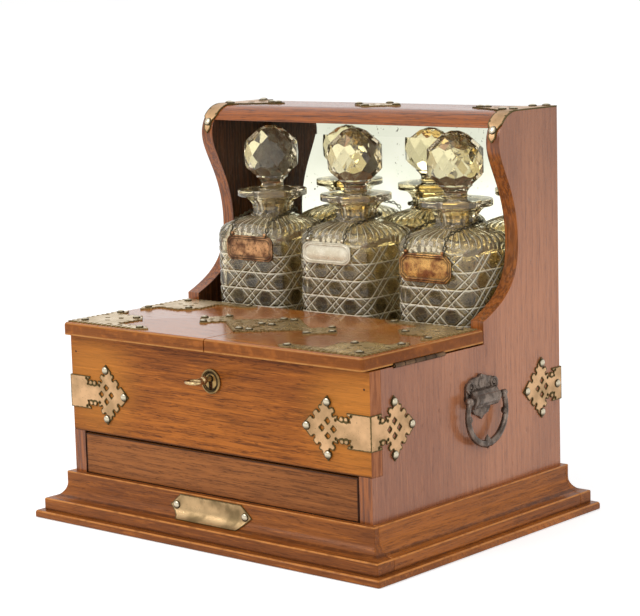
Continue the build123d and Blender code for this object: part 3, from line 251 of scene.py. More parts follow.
def oak(
    name, along, pale, deep, pore, band=170.0, gloss=0.34, coat=0.03, seed=0.0, sheen=0.12, figure=1.0,
    grain=0.00008, stain_and_light=None,
):
    """Oak sawn along an axis: growth bands, fine streaks, open pores and brown polish."""
    made, shader, place = finish_of(name)

    def drawn(share, shift=(0, 0, 0)):
        return stretched(place, [share if axis == along else 1.0 for axis in "XYZ"], shift)

    long_place = drawn(0.07, (seed, seed * 0.7, seed * 1.3))
    across = vector_maths("DOT_PRODUCT", place, grain_across[along])
    turn = line(across, band, times(cloud(long_place, 9.0, 2.0), 11.0))
    turn = line(cloud(long_place, 45.0), 2.2, turn)
    ring = between(maths("FRACT", turn), 0.2, 1.0)
    streaks = cloud(drawn(0.05), 560.0, 5.0, 0.66, 0.5)
    hair = cloud(drawn(0.035, (1, seed, 2)), 1300.0, 2.0, 0.6, 0.3)
    dash = cloud(drawn(0.10, (2, 2, seed)), 1500.0, 2.0, 0.5, 0.4)
    patch = cloud(drawn(0.35, (3, 1, seed)), 11.0)
    pores = times(between(dash, 0.56, 0.68), between(ring, 0.0, 0.7, 0.3, 1.0))
    colour = tinted(between(patch, 0.36, 0.64), pale, deep)
    for share, tint in (
        (times(ring, 0.42 * figure), deep),
        (between(streaks, 0.48, 0.34, 0.0, 0.75 * figure), pale),
        (between(streaks, 0.52, 0.68, 0.0, 0.55 * figure), pore),
        (between(hair, 0.52, 0.66, 0.0, 0.45 * figure), pore),
        (times(pores, 0.55 * figure), pore),
    ):
        colour = tinted(share, colour, tint)
    # The hook adds real stains and painted light: painted sheen, painted shade and painted shadow lines.
    if stain_and_light:
        colour = stain_and_light(place, colour, shader)
    dull = between(patch, 0.3, 0.7, gloss * 0.85, gloss * 1.2)
    wire(shader, {"Base Color": colour, "Roughness": line(pores, 0.15, dull), "Coat Roughness": 0.14})
    if not shader.inputs["Specular IOR Level"].is_linked:
        wire(shader, {"Specular IOR Level": sheen, "Coat Weight": coat})
    raised(shader, maths("SUBTRACT", times(streaks, 0.3), pores), grain)
    return made


def rubbed_and_shaded(pale, rubbed_lit_levels, dark, shaded_levels, shade_half=0.0012, rubbed_lit_half=0.0010):
    """Corners at these heights are worn pale by use and carry a painted highlight, and bands at the
    shaded levels, such as hollows, are painted dark as painted shade.
    """
    # Pale bands: worn edges with a painted highlight; dark bands: painted shade.
    bands = [(z, shade_half, dark, 0.7) for z in shaded_levels] + [(z, rubbed_lit_half, pale, 0.9) for z in rubbed_lit_levels]

    def wear_and_shade(place, colour, shader):
        height = part_of(place, "Z")
        steep = between(maths("ABSOLUTE", facing_of(place, "Z")), 0.985, 0.9)
        patchy = cloud(place, 110.0, 4.0, 0.6)
        for level, half, tint, share in bands:
            near = between(maths("ABSOLUTE", maths("SUBTRACT", height, level)), half, half * 0.3)
            worn = times(steep, between(patchy, 0.34, 0.56, 0.45 * share, share))
            colour = tinted(times(near, worn), colour, tint)
        return colour

    return wear_and_shade


node_body = {
    member: body
    for body, members in frame["record"]["behaviour"]["bodies"].items()
    for member in members
}


def piece_of(mesh, title, name, material=None, smooth=30):
    """A mesh made a piece: it stands for a CAD node and rides on its body."""
    made = placed(title, mesh)
    if material:
        mesh.materials.clear()
        mesh.materials.append(material)
    mesh.polygons.foreach_set("use_smooth", [True] * len(mesh.polygons))
    mesh.set_sharp_from_angle(angle=math.radians(smooth))
    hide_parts(name)
    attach(made, node_body[name])
    return made


def merged(name):
    """The shape of a CAD node with its loose triangles joined."""
    shape = bmesh.new()
    shape.from_mesh(frame["nodes"][name].data)
    bmesh.ops.remove_doubles(shape, verts=shape.verts, dist=2e-6)
    return shape


def flattened(shape, angle):
    """Joins the faces that lie level within an angle in degrees."""
    limit = math.radians(angle)
    bmesh.ops.dissolve_limit(shape, angle_limit=limit, verts=shape.verts, edges=shape.edges)


def settled(shape, title):
    """The mesh of a finished shape."""
    mesh = bpy.data.meshes.new(title)
    shape.to_mesh(mesh)
    shape.free()
    for layer in ("custom_normal", "sharp_edge"):
        if layer in mesh.attributes:
            mesh.attributes.remove(mesh.attributes[layer])
    return mesh


def rounded(made, width, corner):
    """Hard edges rounded over, where two faces meet at more than an angle in degrees."""
    ease = made.modifiers.new("rounded_edges", "BEVEL")
    ease.width = width
    ease.segments = 2
    ease.limit_method = "ANGLE"
    ease.angle_limit = math.radians(corner)


def softened(name, title, width, material):
    """A worked piece: the CAD node's shape with its hard edges eased by hand."""
    shape = merged(name)
    flattened(shape, 0.6)
    bmesh.ops.recalc_face_normals(shape, faces=shape.faces)
    rounded(piece_of(settled(shape, title), title, name, material, smooth=50), width, 35)


# Plinth corners: worn pale with a painted highlight. Hollows: painted dark, painted shade.
plinth_rubbed_lit_corners = (0.0051, 0.0146, 0.0355)
plinth_shaded_hollows = (0.0062, 0.0168)
plinth_wear_and_shade = rubbed_and_shaded(tone(208, 136, 68), plinth_rubbed_lit_corners, tone(72, 36, 15), plinth_shaded_hollows)
plinth_oak = {
    along: oak(
        f"plinth_oak_{along.lower()}", along, tone(186, 110, 44), tone(132, 74, 31), tone(72, 36, 14),
        seed=2.0, coat=0.08, gloss=0.26, figure=0.85, stain_and_light=plinth_wear_and_shade,
    )
    for along in "XY"
}
softened("base_board", "base_board_oak", 0.0006, plinth_oak["X"])
for name, along in (("plinth_front", "X"), ("plinth_back", "X"), ("plinth_sides", "Y")):
    softened(name, name + "_oak", 0.0005, plinth_oak[along])

# ---- Case --------------------------------------------------------------------------------
# Solid oak boards: the sides run up into the swept arms of the hood, the front is screwed
# on and plugged, and the inside is stained dark. The outside is polished golden brown.
case_side, case_front, case_back = 0.15, -0.1118, 0.1167
sheen_spots = ((-0.125, case_front, 0.11), (0.135, case_front, 0.11))
nail_holes = ((-0.1446, case_front, 0.1308), (0.1448, case_front, 0.1308))
sheen_reach = (0.062, 0.012)       # where the painted sheen starts and where it is full
hole_reach = (0.0011, 0.0006)
front_foot = 0.0708
foot_shadow = 0.0016
inner_face = 0.1386


def sheen_shadow_and_holes(place, colour, shader):
    """The front board is painted golden round its mounts, a painted sheen. It has an old nail hole
    near each end, a painted shadow line along its foot over the drawer, and paler end grain."""
    # Painted sheen: golden round the mounts.
    for spot in sheen_spots:
        near = between(vector_maths("DISTANCE", place, spot), *sheen_reach, 0.0, 0.5)
        colour = tinted(near, colour, tone(226, 146, 58))
    for spot in nail_holes:
        hole = between(vector_maths("DISTANCE", place, spot), *hole_reach)
        colour = tinted(hole, colour, tone(54, 30, 16))
    # Painted shadow line along the foot, over the crack above the drawer.
    shadow_over_drawer = between(part_of(place, "Z"), front_foot, front_foot - foot_shadow, 0.0, 0.8)
    colour = tinted(shadow_over_drawer, colour, tone(64, 34, 16))
    end_grain = between(maths("ABSOLUTE", facing_of(place, "X")), 0.4, 0.7)
    upright = cloud(stretched(place, (1, 1, 0.1)), 420.0)
    ends = tinted(between(upright, 0.36, 0.64), tone(172, 108, 68), tone(136, 80, 48))
    return tinted(end_grain, colour, ends)


def dark_inside(place, colour, shader):
    """The sides are stained nearly black inside, painted greyer towards the hood as painted shade,
    and left orange on the sawn front edge."""
    inside = between(maths("ABSOLUTE", part_of(place, "X")), inner_face, inner_face - 0.0004)
    sawn = between(maths("ABSOLUTE", facing_of(place, "X")), 0.5, 0.2)
    grained = cloud(stretched(place, (1, 1, 0.08)), 480.0)
    edge_colour = tinted(between(grained, 0.38, 0.62), tone(162, 90, 32), tone(108, 56, 20))
    # Painted shade: greyer towards the hood.
    shaded_high = between(part_of(place, "Z"), 0.15, 0.28, 0.0, 0.2)
    colour = tinted(shaded_high, colour, tone(112, 84, 70))
    colour = tinted(times(sawn, 0.92), colour, edge_colour)
    stained = tinted(between(grained, 0.4, 0.6), tone(84, 48, 24), tone(58, 32, 15))
    wire(shader, {"Coat Weight": line(inside, -0.18, 0.2)})
    wire(shader, {"Specular IOR Level": line(inside, -0.25, 0.35)})
    return tinted(inside, colour, stained)


front_oak = oak(
    "front_oak", "X", tone(192, 112, 42), tone(136, 74, 28), tone(78, 38, 12), band=120.0, seed=5.0,
    figure=1.2, stain_and_light=sheen_shadow_and_holes,
)
side_oak = oak(
    "side_oak", "Z", tone(187, 122, 84), tone(152, 95, 65), tone(98, 55, 37), band=150.0, gloss=0.24,
    seed=9.0, figure=0.7, stain_and_light=dark_inside,
)
hood_oak = oak(
    "hood_oak", "X", tone(168, 92, 38), tone(110, 57, 25), tone(60, 28, 11), band=140.0, gloss=0.22,
    coat=0.2, seed=13.0, sheen=0.25, figure=1.2,
)
dark_oak = oak(
    "dark_oak", "Z", tone(72, 42, 20), tone(48, 27, 13), tone(28, 15, 7), band=150.0, gloss=0.45,
    seed=17.0,
)
softened("side_panel_left", "left_side_oak", 0.0007, side_oak)
softened("side_panel_right", "right_side_oak", 0.0007, side_oak)
softened("back_panel", "back_panel_oak", 0.0006, side_oak)
softened("top_board", "hood_board_oak", 0.0006, hood_oak)
softened("front_panel", "front_panel_oak", 0.0007, front_oak)
for name in ("case_bottom", "dust_board", "partition"):
    softened(name, name + "_oak", 0.0005, dark_oak)

# ---- Drawer ------------------------------------------------------------------------------
# A shallow secret drawer under the front panel, of plain oak, let go by a brass pin that
# drops inside the case while a steel spring pushes the drawer out.
drawer_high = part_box("drawer_front")[1]
shadow_line_reach = 0.0016        # how far the painted shadow of the crack spreads over the drawer's front


def drawer_shadow_line(place, colour, shader):
    """A painted shadow line darkens the drawer's front under the crack over it and at its ends."""
    top, end = drawer_high[2], drawer_high[0]
    over = between(part_of(place, "Z"), top - shadow_line_reach, top - 0.0002)
    ends = between(maths("ABSOLUTE", part_of(place, "X")), end - shadow_line_reach, end - 0.0003)
    front = between(facing_of(place, "Y"), -0.1, -0.5)
    # Painted shadow, kept to the faces that look forward.
    return tinted(times(maths("MAXIMUM", over, ends), front), colour, tone(50, 26, 12))


drawer_oak = oak(
    "drawer_oak", "X", tone(166, 102, 52), tone(118, 68, 34), tone(66, 34, 14), band=120.0, seed=21.0,
    stain_and_light=drawer_shadow_line,
)
drawer_lining = oak(
    "drawer_lining", "Y", tone(160, 106, 62), tone(124, 78, 44), tone(80, 46, 26), gloss=0.5, coat=0.02,
    seed=25.0,
)
softened("drawer_front", "drawer_front_oak", 0.0006, drawer_oak)
for name in ("drawer_sides", "drawer_back", "drawer_bottom"):
    softened(name, name + "_oak", 0.0004, drawer_lining)

# ---- Lids --------------------------------------------------------------------------------
# Two flat oak lids meet in the middle and open to the sides on long strap hinges. They
# are the most polished part of the box.
# Lid edges: corners worn pale with a painted highlight; the middle painted dark, painted shade.
lid_rubbed_lit_corners = (0.1538, 0.1451)
lid_shaded_middle = (0.1497,)
edge_wear_and_shade = rubbed_and_shaded(tone(196, 136, 72), lid_rubbed_lit_corners, tone(112, 60, 22), lid_shaded_middle, 0.0060)


def polished_top_worn_shaded_sides(place, colour, shader):
    """The lids' tops keep their polish; their sides are dull, worn pale along the corners with a
    painted highlight, and painted darker between them as painted shade.
    """
    top = between(facing_of(place, "Z"), 0.55, 0.9)
    wire(shader, {"Coat Weight": line(top, 0.3, 0.02), "Specular IOR Level": line(top, 0.18, 0.1)})
    return tinted(top, edge_wear_and_shade(place, colour, shader), colour)


lid_oak = oak(
    "lid_oak", "X", tone(190, 112, 46), tone(142, 78, 32), tone(82, 42, 15), band=120.0, gloss=0.14,
    seed=29.0, figure=0.8, grain=0.00002, stain_and_light=polished_top_worn_shaded_sides,
)
softened("lid_left", "left_lid_oak", 0.0008, lid_oak)
softened("lid_right", "right_lid_oak", 0.0008, lid_oak)


# ---- Brass mounts ------------------------------------------------------------------------
# Pierced and scalloped straps cut from sheet brass, lacquered a pinkish tan, with a dark
# green line of old polish left along every edge. Each is nailed flat on the oak.
def brass(name, face, dirt, rough=0.36, worn=0.5, seed=0.0):
    """Old sheet brass: clean faces, cloudy lacquer and dark deposits along the edges."""
    made, shader, place = finish_of(name)
    fine = cloud(stretched(place, shift=(seed, 0, seed)), 420.0, 4.0, 0.6)
    broad = cloud(stretched(place, shift=(0, seed, seed)), 60.0)
    grime = between(maths("ADD", mark_of(place, "edge"), line(fine, 0.9, -0.45)), 0.38, 0.72)
    specks = between(cloud(place, 900.0, 2.0), 0.66, 0.74, 0.0, 0.7)
    colour = tinted(between(broad, 0.35, 0.68, 0.0, worn), face, dirt)
    for share in (grime, specks):
        colour = tinted(share, colour, dirt)
    dull = line(grime, 0.3, between(broad, 0.3, 0.7, rough * 0.8, rough * 1.3))
    wire(shader, {"Base Color": colour, "Metallic": 0.85, "Roughness": dull})
    raised(shader, line(grime, -0.8, fine), 0.00012)
    return made


def plain_mesh(made, title):
    """What an object's modifiers make of it, as a mesh of its own."""
    bpy.context.view_layer.update()
    view = bpy.context.evaluated_depsgraph_get()
    mesh = bpy.data.meshes.new_from_object(made.evaluated_get(view), depsgraph=view)
    mesh.name = title
    return mesh


def carved(first, second, operation, title, use_self=False):
    """Two meshes joined into one, or the second cut out of the first."""
    parts = [placed(mesh.name, mesh) for mesh in (first, second)]
    work = parts[0].modifiers.new("carved", "BOOLEAN")
    work.operation = operation
    work.solver = "EXACT"
    work.use_self = use_self
    work.object = parts[1]
    mesh = plain_mesh(parts[0], title)
    for part in parts:
        bpy.data.objects.remove(part)
    return mesh


def rod(shape, place, lift, radius, length, sides, taper=1.0):
    """A short rod that stands square on a face."""
    stand = Matrix.Translation(place) @ lift.to_track_quat("Z", "Y").to_matrix().to_4x4()
    bmesh.ops.create_cone(
        shape, cap_ends=True, segments=sides, radius1=radius, radius2=radius * taper, depth=length,
        matrix=stand,
    )


nail_seats = [
    vertex.co.copy()
    for nails in ("lid_nails_left", "lid_nails_right", "case_nails")
    for vertex in frame["nodes"][nails].data.vertices
]
nail_clear = 0.0027         # from a nail's seat to the nearest cut
shortest_run = 0.004        # an edge shorter than this isn't bitten
square = 0.95               # how nearly an edge or a face has to follow an axis
file_depth, keyhole_depth = 0.01, 0.005
mesh_step, mark_reach = 1.6, 1.9        # the mesh's edges and the dark line, in rims
eye_radius = 0.0008
eye_inset = 0.0016          # past the bite, to the small hole inside it
up = Vector((0, 0, 1))
forward = Vector((0, -1, 0))
strap_middle = 0.1
curl_radius = 0.0023
curl_thickness = 0.0013
curl_rise = 0.0078          # a curl's middle over the middle of the strap
curl_lift = 0.00055         # and out from the wood
curl_places = (0.1243, 0.1284)
curl_back = 0.0117          # from the case's corner, on its sides
keyhole_radius = 0.0012
keyhole_inset = 0.0026
head_half = 0.0235          # half a strap's pierced head, up and down
head_reach = 0.024          # its middle to its tip
head_root = 0.011           # its middle to where the band starts
head_front = 0.0385         # its middle behind the corner, on the front
head_side = 0.025           # the same on the side


def scalloped(shape, lift, spacing, bite, slanting):
    """Round bites filed along a mount's outline and a row of small holes drilled inside them,
    clear of its nails: each as a place and a radius."""
    shape.normal_update()
    rim_points = []
    for edge in shape.edges:
        if len(edge.link_faces) != 2:
            continue
        ends = [vertex.co for vertex in edge.verts]
        if slanting and max(abs(part) for part in (ends[0] - ends[1]).normalized()) > square:
            continue
        level, wall = sorted((face.normal.dot(lift) for face in edge.link_faces), reverse=True)
        if level > square and abs(wall) < 0.3 and edge.calc_length() > max(shortest_run, 1.5 * bite):
            count = max(1, int(edge.calc_length() / spacing))
            outward = min(edge.link_faces, key=lambda face: abs(face.normal.dot(lift))).normal
            for step in range(count):
                point = ends[0].lerp(ends[1], (step + 0.5) / count)
                rim_points += [(point, bite), (point - outward * (bite + eye_inset), eye_radius)]
    return [
        (point, radius)
        for point, radius in rim_points
        if all((point - nail).length > nail_clear + radius for nail in nail_seats)
    ]


def mount(name, title, material, rim=0.0011, round_over=0.00022, bites=None, curls=(), keyholes=()):
    """Sheet metal from a CAD node, with its outline bitten, its notches drilled and curls added
    where it has them, and a mark along its edges that fades over the rim."""
    shape = merged(name)
    if bites:
        lifts, spacing, bite, slanting = bites
        flattened(shape, 1)
        files = bmesh.new()
        for lift in lifts:
            for point, radius in scalloped(shape, lift, spacing, bite, slanting):
                rod(files, point, lift, radius, file_depth, 10)
        for point, lift in keyholes:
            rod(files, point, lift, keyhole_radius, keyhole_depth, 12)
        plate, filed = settled(shape, title + "_plate"), settled(files, title + "_filed")
        shape = bmesh.new()
        shape.from_mesh(carved(plate, filed, "DIFFERENCE", title + "_cut", use_self=True))
        bmesh.ops.remove_doubles(shape, verts=shape.verts, dist=2e-6)
    for place, lift in curls:
        rod(shape, place, lift, curl_radius, curl_thickness, 20, 0.9)
    for halving in range(6):
        long = [edge for edge in shape.edges if edge.calc_length() > mesh_step * rim]
        if not long:
            break
        bmesh.ops.subdivide_edges(shape, edges=long, cuts=1)
        bmesh.ops.triangulate(shape, faces=[face for face in shape.faces if len(face.verts) > 3])
    shape.normal_update()
    turns = [edge for edge in shape.edges if edge.is_manifold and edge.calc_face_angle() > 0.5]
    rims = kdtree.KDTree(max(1, 2 * len(turns)))
    for number, edge in enumerate(turns):
        rims.insert(edge.verts[0].co, 2 * number)
        rims.insert((edge.verts[0].co + edge.verts[1].co) / 2, 2 * number + 1)
    rims.balance()
    edge_mark = shape.verts.layers.float.new("edge")
    for vertex in shape.verts:
        gap = rims.find(vertex.co)[2] if turns else 1.0
        vertex[edge_mark] = max(0.0, 1.0 - gap / (mark_reach * rim))
    rounded(piece_of(settled(shape, title), title, name, material), round_over, 40)


def curls_of(end, hand_sign):
    """The curled lobes that fill the roots of a strap's pierced heads: where, and facing."""
    spots = []
    side_way = Vector((hand_sign, 0, 0))
    x_out = hand_sign * (case_side + curl_lift)
    y = case_front + curl_back if end == "front" else case_back - curl_back
    for height in (strap_middle - curl_rise, strap_middle + curl_rise):
        for x in curl_places if end == "front" else ():
            spots.append((Vector((hand_sign * x, case_front - curl_lift, height)), forward))
        spots.append((Vector((x_out, y, height)), side_way))
    return spots


def keyholes_of(end, hand_sign):
    """Round holes drilled at the bottom of each notch in a strap's pierced heads."""
    flats = []
    for along, rise, turn, shares in (
        (-head_reach, 0.0, 1, (0.38, 0.6)),
        (head_root, 0.27 * head_half, -1, (0.3, 0.62)),
    ):
        run = Vector((-along, head_half - rise))
        inward = Vector((run.y, -run.x)).normalized() * turn
        flats += [Vector((along, rise)) + run * share + inward * keyhole_inset for share in shares]
    spots = []
    for flat in [Vector((flat.x, -flat.y)) for flat in flats] + flats:
        height = strap_middle + flat.y
        y = case_back - head_side + flat.x
        if end == "front":
            x = hand_sign * (case_side - head_front + flat.x)
            spots.append((Vector((x, case_front, height)), forward))
            y = case_front + head_side - flat.x
        spots.append((Vector((hand_sign * case_side, y, height)), Vector((hand_sign, 0, 0))))
    return spots


strap_brass = brass("strap_brass", tone(208, 166, 122), tone(96, 82, 48), worn=0.45, seed=1.0)
lid_brass = brass("lid_brass", tone(222, 194, 144), tone(136, 114, 72), rough=0.26, worn=0.4, seed=4.0)
for hand, hand_sign in (("left", -1), ("right", 1)):
    strap_bites = ((forward, Vector((hand_sign, 0, 0))), 0.0050, 0.0012, True)
    for end in ("front", "back"):
        mount(
            f"corner_strap_{end}_{hand}", f"{end}_corner_strap_{hand}", strap_brass, rim=0.0008,
            bites=strap_bites, curls=curls_of(end, hand_sign), keyholes=keyholes_of(end, hand_sign),
        )
    mount(f"hood_strap_{hand}", f"hood_corner_strap_{hand}", strap_brass)
    lid_bites = ((up,), 0.0052, 0.0015, False)
    mount(f"lid_mounts_{hand}", f"lid_brasswork_{hand}", lid_brass, rim=0.0006, bites=lid_bites)
    mount(f"link_plate_{hand}", f"key_link_plate_{hand}", strap_brass)
hood_bites = ((up,), 0.0052, 0.0014, False)
mount("hood_centre_mount", "hood_middle_brasswork", lid_brass, rim=0.0006, bites=hood_bites)


# ---- Nails -------------------------------------------------------------------------------
# White-metal round-headed nails pin every mount, clean on top. Painted shade darkens a ring
# where each head meets the brass, and a painted reflection of dark surroundings its lower side.
nail_radius = 0.0023
nail_height = 0.0017
nail_profile = [
    (nail_radius * across, nail_height * rise)
    for across, rise in ((0, 0), (1, 0), (1, 0.16), (0.93, 0.42), (0.72, 0.74), (0.38, 0.94), (0, 1))
]
nail_sizes = (
    ("lid_nails_left", "left_lid_nails", 1.34),
    ("lid_nails_right", "right_lid_nails", 1.34),
    ("case_nails", "case_nails_white_metal", 1.46),
)


def skin(shape, loops, ends="capped"):
    """Faces between neighbouring rings of points, capped, open or joined at the two ends."""
    pairs = list(zip(loops, loops[1:]))
    if ends == "joined":
        pairs.append((loops[-1], loops[0]))
    for first, second in pairs:
        for step, corner in enumerate(first):
            after = (step + 1) % len(first)
            shape.faces.new((corner, first[after], second[after], second[step]))
    if ends == "capped":
        shape.faces.new(loops[0][::-1])
        shape.faces.new(loops[-1])


def turned(profile, around):
    """A shape turned about Z from (radius, height) points."""
    shape = bmesh.new()
    turns = [2 * math.pi * step / around for step in range(around)]
    loops = [
        [shape.verts.new((radius * math.cos(turn), radius * math.sin(turn), height)) for turn in turns]
        for radius, height in profile
    ]
    skin(shape, loops, ends="open")
    bmesh.ops.remove_doubles(shape, verts=shape.verts, dist=1e-6)
    return shape


def tree_of(name, inputs):
    """An empty Geometry Nodes tree with its named inputs: the tree and its inputs' sockets."""
    made = bpy.data.node_groups.new(name, "GeometryNodeTree")
    for title, kind in (("Geometry", "Geometry"), *inputs):
        made.interface.new_socket(title, in_out="INPUT", socket_type="NodeSocket" + kind)
    made.interface.new_socket("Geometry", in_out="OUTPUT", socket_type="NodeSocketGeometry")
    return made, node(made, "NodeGroupInput").outputs


def close_tree(tree, shape, material):
    """Ends a tree in real faces with their material."""
    real = node(tree, "GeometryNodeRealizeInstances", {"Geometry": shape})
    finished = node(tree, "GeometryNodeSetMaterial", {"Geometry": real.outputs[0], "Material": material})
    node(tree, "NodeGroupOutput", {"Geometry": finished.outputs[0]})


def grown(seed_shape, tree, values, title):
    """The plain mesh that a tree makes from a shape, with its inputs set by their identifiers."""
    carrier = placed(title + "_carrier", seed_shape)
    work = carrier.modifiers.new("grown", "NODES")
    work.node_group = tree
    for item in tree.interface.items_tree:
        if item.in_out == "INPUT" and item.name in values:
            work[item.identifier] = values[item.name]
    carrier.update_tag()
    mesh = plain_mesh(carrier, title)
    carrier.modifiers.remove(work)
    bpy.data.objects.remove(carrier)
    return mesh


def heads_in(name):
    """Where each nail of a CAD node stands: the middle of its seat and the way it faces."""
    shape = merged(name)
    left, found = set(shape.verts), []
    for start in shape.verts:
        if start not in left:
            continue
        left.discard(start)
        reached = [start]
        for vertex in reached:
            for edge in vertex.link_edges:
                other = edge.other_vert(vertex)
                if other in left:
                    left.discard(other)
                    reached.append(other)
        faces = [face for vertex in reached for face in vertex.link_faces]
        seat = max(faces, key=lambda face: face.calc_area())
        facing = -seat.normal
        middle = sum((vertex.co for vertex in reached), Vector()) / len(reached)
        sunk = (seat.calc_center_median() - middle).dot(facing)
        found.append((middle + facing * sunk, facing))
    shape.free()
    return found


nail_metal, shader, place = finish_of("nail_metal")
blotch = cloud(place, 700.0)
# Painted shade: a dark ring low on each head, where it meets the brass.
shade_ring = between(line(blotch, 0.4, mark_of(place, "rise")), 0.98, 0.6)
# Painted reflection of dark surroundings on each head's lower side.
under = between(facing_of(place, "Z"), 0.15, -0.45, 0.0, 0.9)
painted_shade_and_reflection = maths("MAXIMUM", shade_ring, under)
colour = tinted(painted_shade_and_reflection, tone(208, 196, 170), tone(70, 58, 36))
dull = between(painted_shade_and_reflection, 0.0, 1.0, 0.16, 0.5)
wire(shader, {"Base Color": colour, "Metallic": 0.95, "Roughness": dull})
raised(shader, blotch, 0.00006)

nail_tree, given = tree_of("nail_heads", [("Head", "Object"), ("Size", "Float")])
head = node(nail_tree, "GeometryNodeObjectInfo", {"Object": given["Head"]}).outputs["Geometry"]
height = part_of(node(nail_tree, "GeometryNodeInputPosition").outputs[0], "Z")
mark = {"Geometry": head, "Name": "rise", "Value": maths("DIVIDE", height, nail_height)}
marked = node(nail_tree, "GeometryNodeStoreNamedAttribute", mark, data_type="FLOAT").outputs[0]
facing = node(nail_tree, "GeometryNodeInputNamedAttribute", {"Name": "facing"}, data_type="FLOAT_VECTOR")
turn = node(nail_tree, "FunctionNodeAlignRotationToVector", {"Vector": facing.outputs[0]}, axis="Z")
spread = node(nail_tree, "ShaderNodeCombineXYZ", {"X": given["Size"], "Y": given["Size"], "Z": 1.0})
stood = {
    "Points": given["Geometry"],
    "Instance": marked,
    "Rotation": turn.outputs[0],
    "Scale": spread.outputs[0],
}
close_tree(nail_tree, node(nail_tree, "GeometryNodeInstanceOnPoints", stood).outputs[0], nail_metal)

head_pattern = placed("nail_head", settled(turned(nail_profile, 12), "nail_head"))
for name, title, size in nail_sizes:
    heads = heads_in(name)
    seats = bpy.data.meshes.new(title + "_seats")
    seats.from_pydata([tuple(middle) for middle, facing in heads], [], [])
    ways = seats.attributes.new("facing", "FLOAT_VECTOR", "POINT")
    ways.data.foreach_set("vector", [part for middle, facing in heads for part in facing])
    mesh = grown(seats, nail_tree, {"Head": head_pattern, "Size": size}, title)
    piece_of(mesh, title, name, smooth=50)
bpy.data.objects.remove(head_pattern)

# ---- Lock --------------------------------------------------------------------------------
# A cast brass escutcheon with a turned ring stands on the front; the steel key sits in it
# and throws the bolt inside the brass lock case. Hinges, drawer pin and spring are plain metal.
old_brass = brass("old_brass", tone(168, 136, 84), tone(74, 58, 34), rough=0.34, worn=0.9, seed=7.0)
mount("escutcheon", "escutcheon_brass", old_brass, rim=0.0007)
mount("lock_case", "lock_case_brass", old_brass)


def metal(name, pale, dark, rough, speck=500.0, metallic=0.9):
    """Bare metal with a patchy skin."""
    made, shader, place = finish_of(name)
    fine = cloud(place, speck, 4.0, 0.6)
    colour = tinted(between(cloud(place, speck * 0.2), 0.35, 0.65), pale, dark)
    colour = tinted(between(fine, 0.56, 0.72, 0.0, 0.7), colour, dark)
    dull = between(fine, 0.3, 0.7, rough * 0.8, rough * 1.25)
    wire(shader, {"Base Color": colour, "Metallic": metallic, "Roughness": dull})
    raised(shader, fine, 0.00008)
    return made


key_steel = metal("key_steel", tone(196, 168, 122), tone(120, 96, 62), 0.28)
softened("key", "key_steel_bow", 0.0002, key_steel)
softened("lock_bolt", "lock_bolt_steel", 0.0002, key_steel)
hinge_brass = brass("hinge_brass", tone(128, 96, 66), tone(62, 46, 32), rough=0.4, worn=0.9, seed=11.0)
for name in ("hinge_case_leaves", "hinge_lid_leaf_left", "hinge_lid_leaf_right"):
    mount(name, name + "_brass", hinge_brass, rim=0.0005)
for name in ("hinge_pins", "drawer_spring", "drawer_pin"):
    softened(name, name + "_metal", 0.0001, key_steel)

# ---- Plaque ------------------------------------------------------------------------------
# A bare brass presentation plate with pointed ends. A round-headed nail at each end pins it
# to the front of the plinth.
plate_brass = brass("plate_brass", tone(190, 158, 114), tone(104, 86, 54), 0.34, 0.85, seed=15.0)
mount("plaque", "bare_plaque", plate_brass, rim=0.0008, round_over=0.0004)

# ---- Handles -----------------------------------------------------------------------------
# Cast iron drop handles, browned, one on each side. A shell plate with scrolled ears carries a
# moulded block, with a leaf below it, and the ring hangs from a curl at each end of the block.
# Each is worked out in millimetres: along the case's side, up, and out from the wood.
handle_iron = metal("handle_iron", tone(128, 112, 100), tone(76, 64, 55), 0.28, 700.0, 0.7)
handle_middle = (0.0131, 0.1055)
hang_out = 7.0
ring_half = 23.2
ring_middle = -10.4
block_section = (
    (7.2, 0.0), (7.2, 4.2), (6.4, 6.2), (5.0, 6.6), (4.3, 7.2), (3.4, 9.1), (1.8, 9.9), (-0.6, 9.8),
    (-3.2, 8.6), (-4.6, 7.2), (-5.4, 7.0), (-6.2, 6.2), (-6.8, 4.4), (-6.9, 0.0),
)
block_steps = ((10.9, 1.0), (11.4, 0.94), (12.1, 0.94), (12.6, 1.0), (14.4, 1.0), (15.0, 0.9))
shell_foot = [(-18.9, 1.0), (-16.0, -3.5), (-11.0, -5.0), (11.0, -5.0), (16.0, -3.5), (18.9, 1.0)]
leaf_half = [(10.6, -5.5), (10.9, -8.6), (8.4, -11.6), (5.6, -12.4), (3.0, -13.4)]
brow_half, brow_foot, brow_rise = 18.2, 3.0, 12.6
ear = (13.9, 9.3)
ear_radius, ear_closing = 4.5, 3.1
ear_steps = 29
ring_steps = 56
ring_beads = (
    ((20.2, 0.0), (2.3, 3.4, 3.3)),
    ((22.6, 1.0), (1.9, 2.2, 2.2)),
    ((21.9, -12.6), (2.7, 3.2, 2.9)),
    ((3.4, ring_middle - ring_half + 0.2), (3.4, 2.9, 2.8)),
)


def swept(shape, points, radii, squash=1.0, sides=14):
    """A bar along a path in the plane of the case side, thicker or thinner on the way."""
    loops = []
    for number, (place, radius) in enumerate(zip(points, radii)):
        before, after = points[max(0, number - 1)], points[min(len(points) - 1, number + 1)]
        way = Vector((after[0] - before[0], after[1] - before[1], 0)).normalized()
        across = Vector((way.y, -way.x, 0))
        loop = []
        for step in range(sides):
            angle = 2 * math.pi * step / sides
            lift = Vector((0, 0, squash * radius * math.sin(angle)))
            loop.append(shape.verts.new(Vector(place) + lift + across * (radius * math.cos(angle))))
        loops.append(loop)
    skin(shape, loops)


